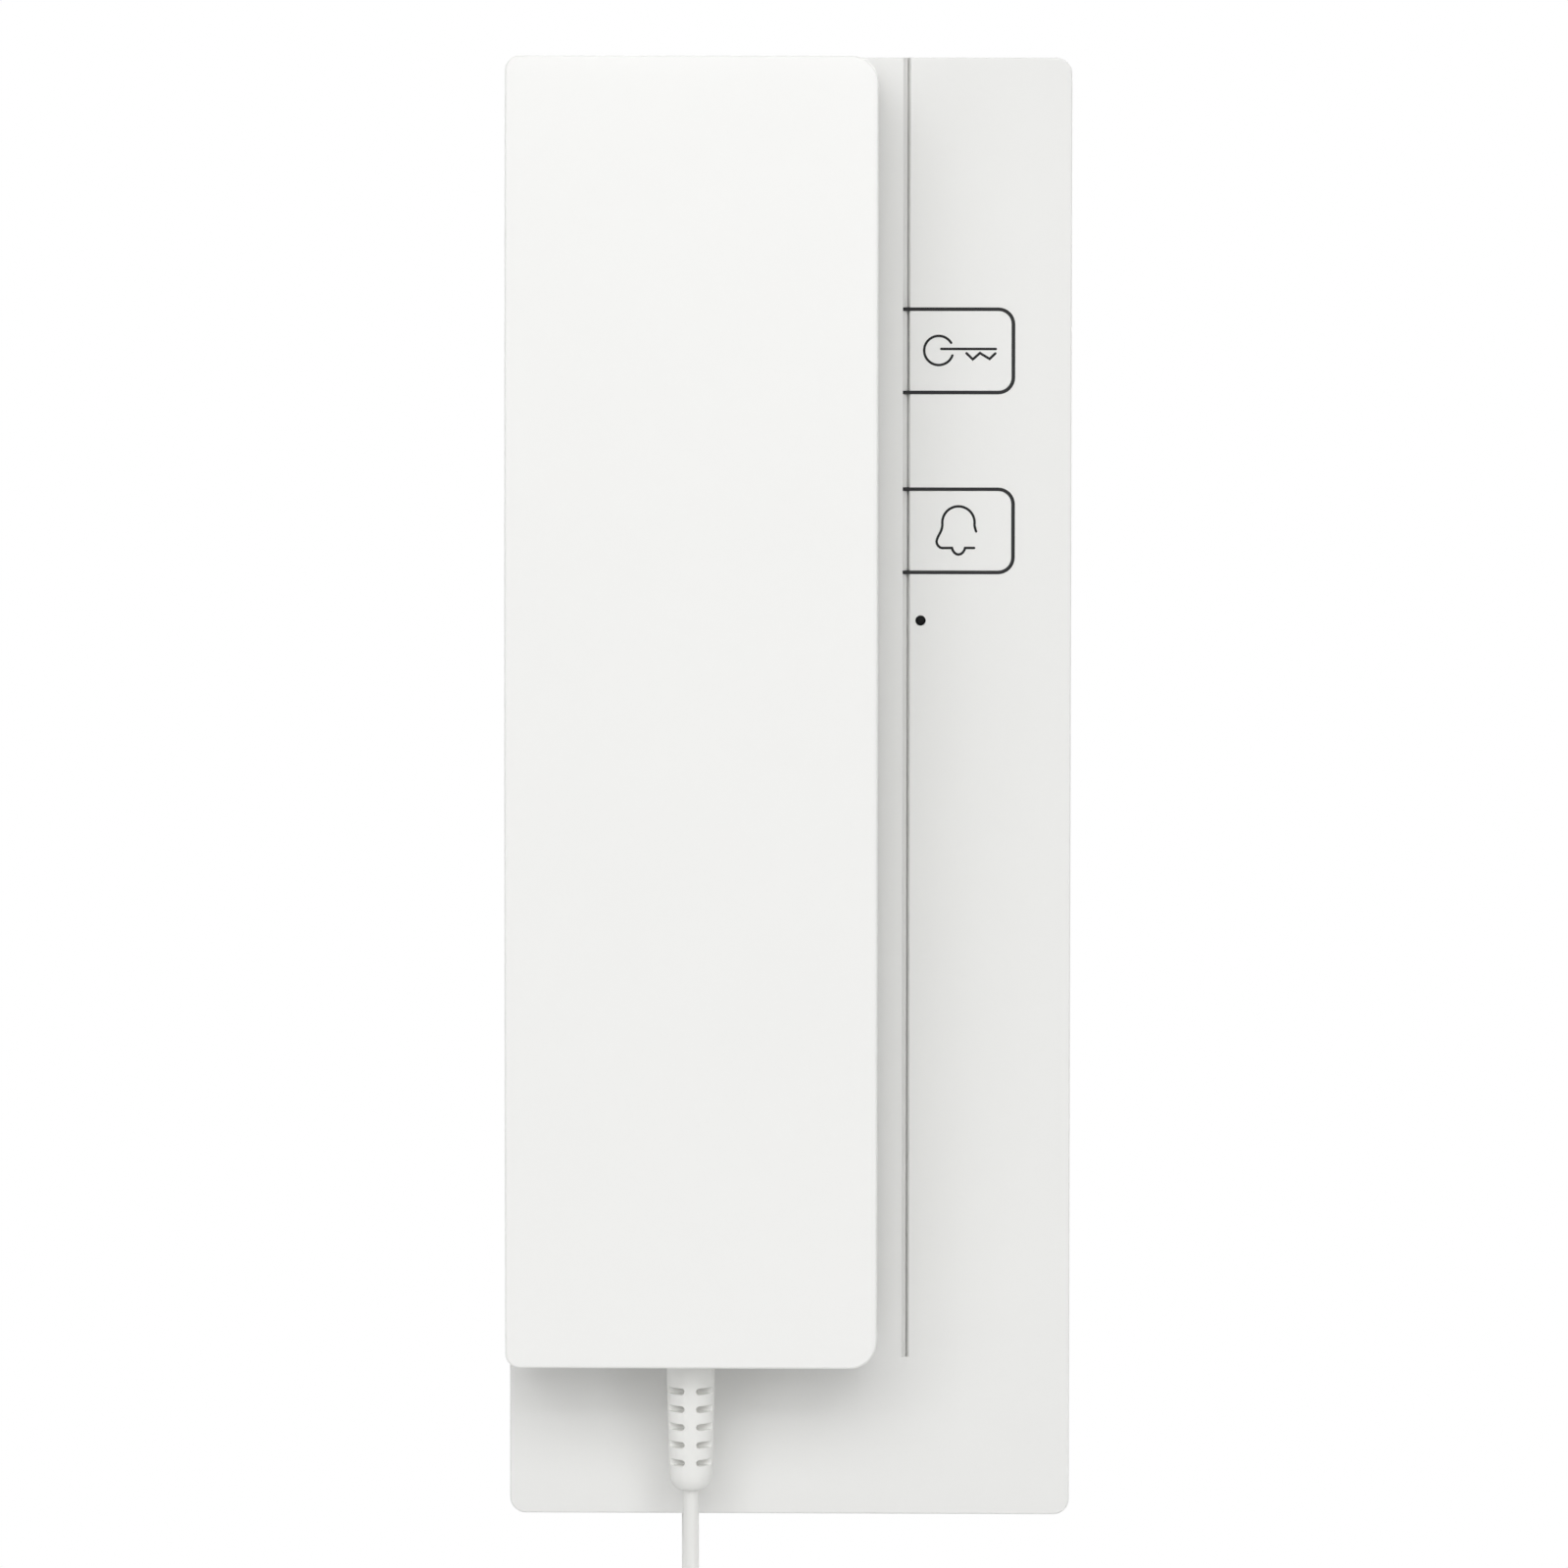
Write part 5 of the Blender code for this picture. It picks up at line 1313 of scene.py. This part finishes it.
def wedge(name, centre, axis, length, width, depth, turn):
    """A tapered slot across a screw's head, narrowing with depth."""
    place = Vector(axis).to_track_quat("Z", "Y").to_matrix() @ Matrix.Rotation(turn, 3, "Z")
    loops = []
    for down, share in ((-WEDGE_OVER, WEDGE_TOP), (depth, WEDGE_FLOOR)):
        x, y = length / 2 * share, width / 2 * (0.7 + 0.3 * share)
        corners = ((-x, -y, down), (x, -y, down), (x, y, down), (-x, y, down))
        loops.append([Vector(centre) + place @ Vector(corner) for corner in corners])
    return stack(name, loops)


def screw(name, node, body, centre, axis, size, length, cross=True):
    """A screw from the top of its head, along its axis. size: head radius, head height, shank radius."""
    head, head_height, shank = size
    crown, root = CROWN_TALL * head_height, shank * THREAD_ROOT
    profile = [
        (crown * (1 - math.sin(a)), head - CROWN_DRAWN_IN * head * (1 - math.cos(a)))
        for a in reversed(quarter_turn(5))
    ]
    profile += [(head_height, head), (head_height, root)]
    along = head_height + THREAD_PITCH
    while along < length - 2 * THREAD_PITCH:
        profile += [(along, root), (along + THREAD_PITCH / 2, shank)]
        along += THREAD_PITCH
    profile += [(length - THREAD_PITCH, root), (length, shank * TIP)]
    made = turned(name, centre, axis, profile, 32)
    long = (RECESS_LONG if cross else SLOT_LONG) * head
    wide, deep = RECESS_WIDE * head, RECESS_DEEP * head_height
    for turn in (0.0, math.pi / 2) if cross else (0.0,):
        cut(made, wedge("slot", centre, axis, long, wide, deep, turn))
    return dress(made, zinc_plated_steel, body, [node])


screw("pan_head_screw_cover", "cover_screw", "base", COVER_SCREW_TOP, UP, PAN_HEAD, COVER_SCREW_LENGTH)
for number, z in enumerate(HANDSET_SCREWS_Z, 1):
    screw(f"pan_head_screw_handset_{number}", f"handset_screw_{number}", "handset",
          (HANDSET_X, HANDSET_SCREW_Y, z), TO_FRONT, PAN_HEAD, HANDSET_SCREW_LENGTH)
for number, (x, z) in enumerate(BOARD_SCREWS, 1):
    screw(f"pan_head_screw_board_{number}", f"board_screw_{number}", "base",
          (x, BOARD_SCREW_Y, z), TO_WALL, PAN_HEAD, BOARD_SCREW_LENGTH)
for number in range(1, 5):
    low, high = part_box(f"terminal_screw_{number}")
    top = ((low.x + high.x) / 2, low.y, (low.z + high.z) / 2)
    slotted_head = ((high.x - low.x) / 2, TERMINAL_HEAD_HEIGHT, TERMINAL_SHANK)
    screw(f"slotted_screw_terminal_{number}", f"terminal_screw_{number}", "base",
          top, TO_WALL, slotted_head, high.y - low.y, cross=False)

# %% [markdown]
# ## The hook
#
# The resting handset holds a plunger in, and the plunger holds the hook switch. Its nose is rounded
# so that the handset's back slides over it. Its spring is a helix of wire between the microswitch and
# the plunger's flange: again a tube of rings, laid along its turns.

# %% Hook plunger and spring
SPRING_WIRE, SPRING_RADIUS, SPRING_TURNS = 0.0007, 0.0036, 3
SPRING_Y = (-0.00915, -0.01255)
SPRING_POINTS, SPRING_SIDES = 28, 12
NOSE_CORNER, NOSE_ROUND = 0.0015, 0.0011
FLANGE_HALF, FLANGE_Y, FLANGE_CORNER = (0.0060, 0.0070), (-0.0145, -0.0132), 0.0005
STEM, STEM_Y = 0.0024, (-0.0140, -0.0096)


def hook_plunger():
    centre = (HANDSET_X, HOOK_Z)
    nose = fillet(FLANGE_Y[0], HANDSET_BACK_Y + GAP, NOSE_ROUND, 8)
    plunger = slab_about("hook_plunger_nose", centre, PLUNGER_HALF, NOSE_CORNER, nose)
    fuse(plunger, slab_about("flange", centre, FLANGE_HALF, FLANGE_CORNER, [(y, 0.0) for y in FLANGE_Y]))
    fuse(plunger, rod("stem", *centre, STEM, STEM_Y, 32))
    return dress(plunger, base_abs, "hook_plunger", ["hook_plunger"])


def spring_path():
    steps = np.arange(SPRING_TURNS * SPRING_POINTS + 1)
    angle = 2 * math.pi * steps / SPRING_POINTS
    return np.stack([
        HANDSET_X + SPRING_RADIUS * np.cos(angle),
        np.linspace(*SPRING_Y, len(steps)),
        HOOK_Z + SPRING_RADIUS * np.sin(angle),
    ], axis=1)


hook_plunger()
path = spring_path()
spring = tube_mesh("hook_spring_coil", path, SPRING_WIRE / 2, SPRING_SIDES)
spring.data.materials.append(spring_wire)
spring.data.shade_smooth()
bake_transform(spring)
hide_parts("hook_spring")
print(f"{spring.name}: {len(spring.data.polygons)} faces")

# %% [markdown]
# ## The lamp
#
# The lamp on the board is behind the panel, and a dark light pipe a little thinner than its hole
# brings its light to the front. The pipe ends a hair below the panel, slightly domed. Lamp and pipe
# are round, so one turned profile makes both.

# %% Lamp
LAMP_PROFILE = (
    (-0.0107, 0.0015), (-0.0160, 0.0015), (-0.0170, 0.0013), (-0.0175, 0.0008),
    (-0.0175, 0.00068), (-0.01975, 0.00068), (-0.01985, 0.00058), (-0.01992, 0.00025),
)
lamp = turned_y("status_lamp", LED_X, LED_Z, LAMP_PROFILE, 32)
dress(lamp, dark_lens, "base", ["status_led"])

# %% [markdown]
# ## Finishes for the other solids
#
# What lies behind the casing already has its shape: the board and what it carries, the sounder, the
# switches, the socket, and the handset's receiver, microphone and weight. They keep their solids and
# get their real materials.

# %% Finishes by solid
FINISHES = {
    "circuit_board": green_board,
    "amplifier_chip": black_epoxy,
    "capacitor": sleeve,
    "terminal_block": green_polyamide,
    "call_sounder": black_pbt,
    "door_switch": black_pbt,
    "call_switch": black_pbt,
    "door_switch_button": light_grey_pom,
    "call_switch_button": light_grey_pom,
    "hook_switch": black_pbt,
    "hook_switch_button": red_pom,
    "cord_socket": grey_pbt,
    "receiver_capsule": black_pbt,
    "receiver_ring": grey_foam,
    "microphone_boot": black_rubber,
    "microphone_capsule": drawn_aluminium,
    "handset_weight": sawn_steel,
}
for node, finish in FINISHES.items():
    for place in bpy.data.objects[node].material_slots:
        place.material = finish
print(len(FINISHES), "solids keep their shape under a new finish")

# %% [markdown]
# ## Lights
#
# The telephone is lit as in a white tent: the world gives an even, faint light from all round. Two wide
# softboxes stand in front, one over the other, the upper one two and a half times as strong. Being
# wide, they reach round the handset from left and right, and being high, they make the soft shadow
# under its foot. At each side one softbox fills from the front, and one a little behind the wall's
# plane lights the sides and their rounded edges alone. A third such box does the same for the top. A
# small one near the top end makes it a little brighter than the foot, and the last fills from behind,
# for views of the back. The camera, glossy surfaces and clear plastic see the world as white.

# %% World
TENT_LEVEL = 0.19
WHITE = (1.0, 1.0, 1.0, 1.0)


def showing_rays(tree):
    """1 for rays that show the background: to the camera, off gloss and through clear plastic."""
    rays = add(tree, "ShaderNodeLightPath").outputs
    seen = add(tree, "ShaderNodeMath", {0: rays["Is Camera Ray"], 1: rays["Is Glossy Ray"]},
               operation="MAXIMUM")
    seen = add(tree, "ShaderNodeMath", {0: seen.outputs[0], 1: rays["Is Transmission Ray"]},
               operation="MAXIMUM")
    return seen.outputs[0]


world = bpy.data.worlds.new("white_tent")
bpy.context.scene.world = world
world.use_nodes = True
sky = world.node_tree
sky.nodes.clear()
level = add(sky, "ShaderNodeMapRange", {"Value": showing_rays(sky), "To Min": TENT_LEVEL, "To Max": 1.0})
white = add(sky, "ShaderNodeBackground", {"Color": WHITE, "Strength": level.outputs["Result"]})
add(sky, "ShaderNodeOutputWorld", {"Surface": white.outputs["Background"]})
print("world:", len(sky.nodes), "nodes")

# %% Softboxes


def softbox(name, place, aim, size, power):
    lamp = bpy.data.lights.new(name, "AREA")
    lamp.shape = "RECTANGLE"
    lamp.size, lamp.size_y = size
    lamp.energy = power
    obj = add_object(name, lamp)
    obj.location = place
    obj.rotation_mode = "QUATERNION"
    obj.rotation_quaternion = (Vector(aim) - Vector(place)).to_track_quat("-Z", "Y")
    return obj


PHONE, TOP_END, WALL = (0.0, -0.02, 0.0), (0.0, -0.02, 0.05), (0.0, 0.0, 0.0)
# Each softbox: its name, its place, what it is aimed at, its size in metres and its power in watts.
SOFTBOXES = (
    ("front_high", (0.0, -2.2, 1.25), PHONE, (2.6, 0.9), 24.7),
    ("front_low", (0.0, -2.2, 0.6), PHONE, (2.6, 0.6), 9.8),
    ("left", (-1.5, -2.0, 0.2), PHONE, (0.7, 1.4), 4.9),
    ("edge_left", (-1.3, 0.5, 0.1), PHONE, (0.8, 1.2), 3.8),
    ("right", (1.5, -2.0, 0.2), PHONE, (0.7, 1.4), 7.2),
    ("edge_right", (1.3, 0.5, 0.1), PHONE, (0.8, 1.2), 3.8),
    ("edge_top", (0.0, 0.5, 1.3), PHONE, (1.2, 0.8), 2.0),
    ("near_top", (0.0, -0.3, 0.45), TOP_END, (0.7, 0.4), 0.52),
    ("behind", (0.0, 1.9, 0.4), WALL, (1.6, 0.8), 23.5),
)
for name, place, aim, size, power in SOFTBOXES:
    softbox("softbox_" + name, place, aim, size, power)
print(len(bpy.data.lights), "softboxes in a tent of", TENT_LEVEL)

# %% [markdown]
# ## The floor
#
# The telephone hangs on a wall, so nothing stands on this floor. It is a pale matt disc a little below
# the cord, and it catches the soft shadow. Towards its rim it fades to the white of the background, as
# a paper sweep does, so that no edge shows: the fade is by distance from the middle, and only for rays
# that show the background. As a lit surface it stays what it is, so it sends up the same light.

# %% Floor
FLOOR_Z = -0.26
FLOOR_RADIUS, FLOOR_SIDES = 0.5, 96
FADE_FROM, FADE_TO = 0.14, 0.44


def paper_sweep():
    made, tree, shader = new_material("pale_paper", Base_Color=linear("#F2F2F2"), Roughness=0.9)
    place = add(tree, "ShaderNodeTexCoord").outputs["Object"]
    far = add(tree, "ShaderNodeVectorMath", {0: place}, operation="LENGTH").outputs["Value"]
    fade = add(tree, "ShaderNodeMapRange", {"Value": far, "From Min": FADE_FROM, "From Max": FADE_TO},
               interpolation_type="SMOOTHSTEP")
    share = add(tree, "ShaderNodeMath", {0: fade.outputs["Result"], 1: showing_rays(tree)},
                operation="MULTIPLY")
    plain = add(tree, "ShaderNodeEmission", {"Color": WHITE, "Strength": 1.0})
    both = add(tree, "ShaderNodeMixShader", {0: share.outputs[0], 1: shader.outputs["BSDF"],
                                             2: plain.outputs["Emission"]})
    tree.links.new(both.outputs["Shader"], tree.nodes["Material Output"].inputs["Surface"])
    return made


def floor_disc():
    angles = [2 * math.pi * i / FLOOR_SIDES for i in range(FLOOR_SIDES)]
    rim = [(FLOOR_RADIUS * math.cos(a), FLOOR_RADIUS * math.sin(a), 0.0) for a in angles]
    mesh = bpy.data.meshes.new("floor")
    mesh.from_pydata(rim, [], [tuple(range(FLOOR_SIDES))])
    disc = add_object("floor", mesh)
    disc.location.z = FLOOR_Z
    mesh.materials.append(paper_sweep())
    return disc


print("floor at", floor_disc().location.z, "m")
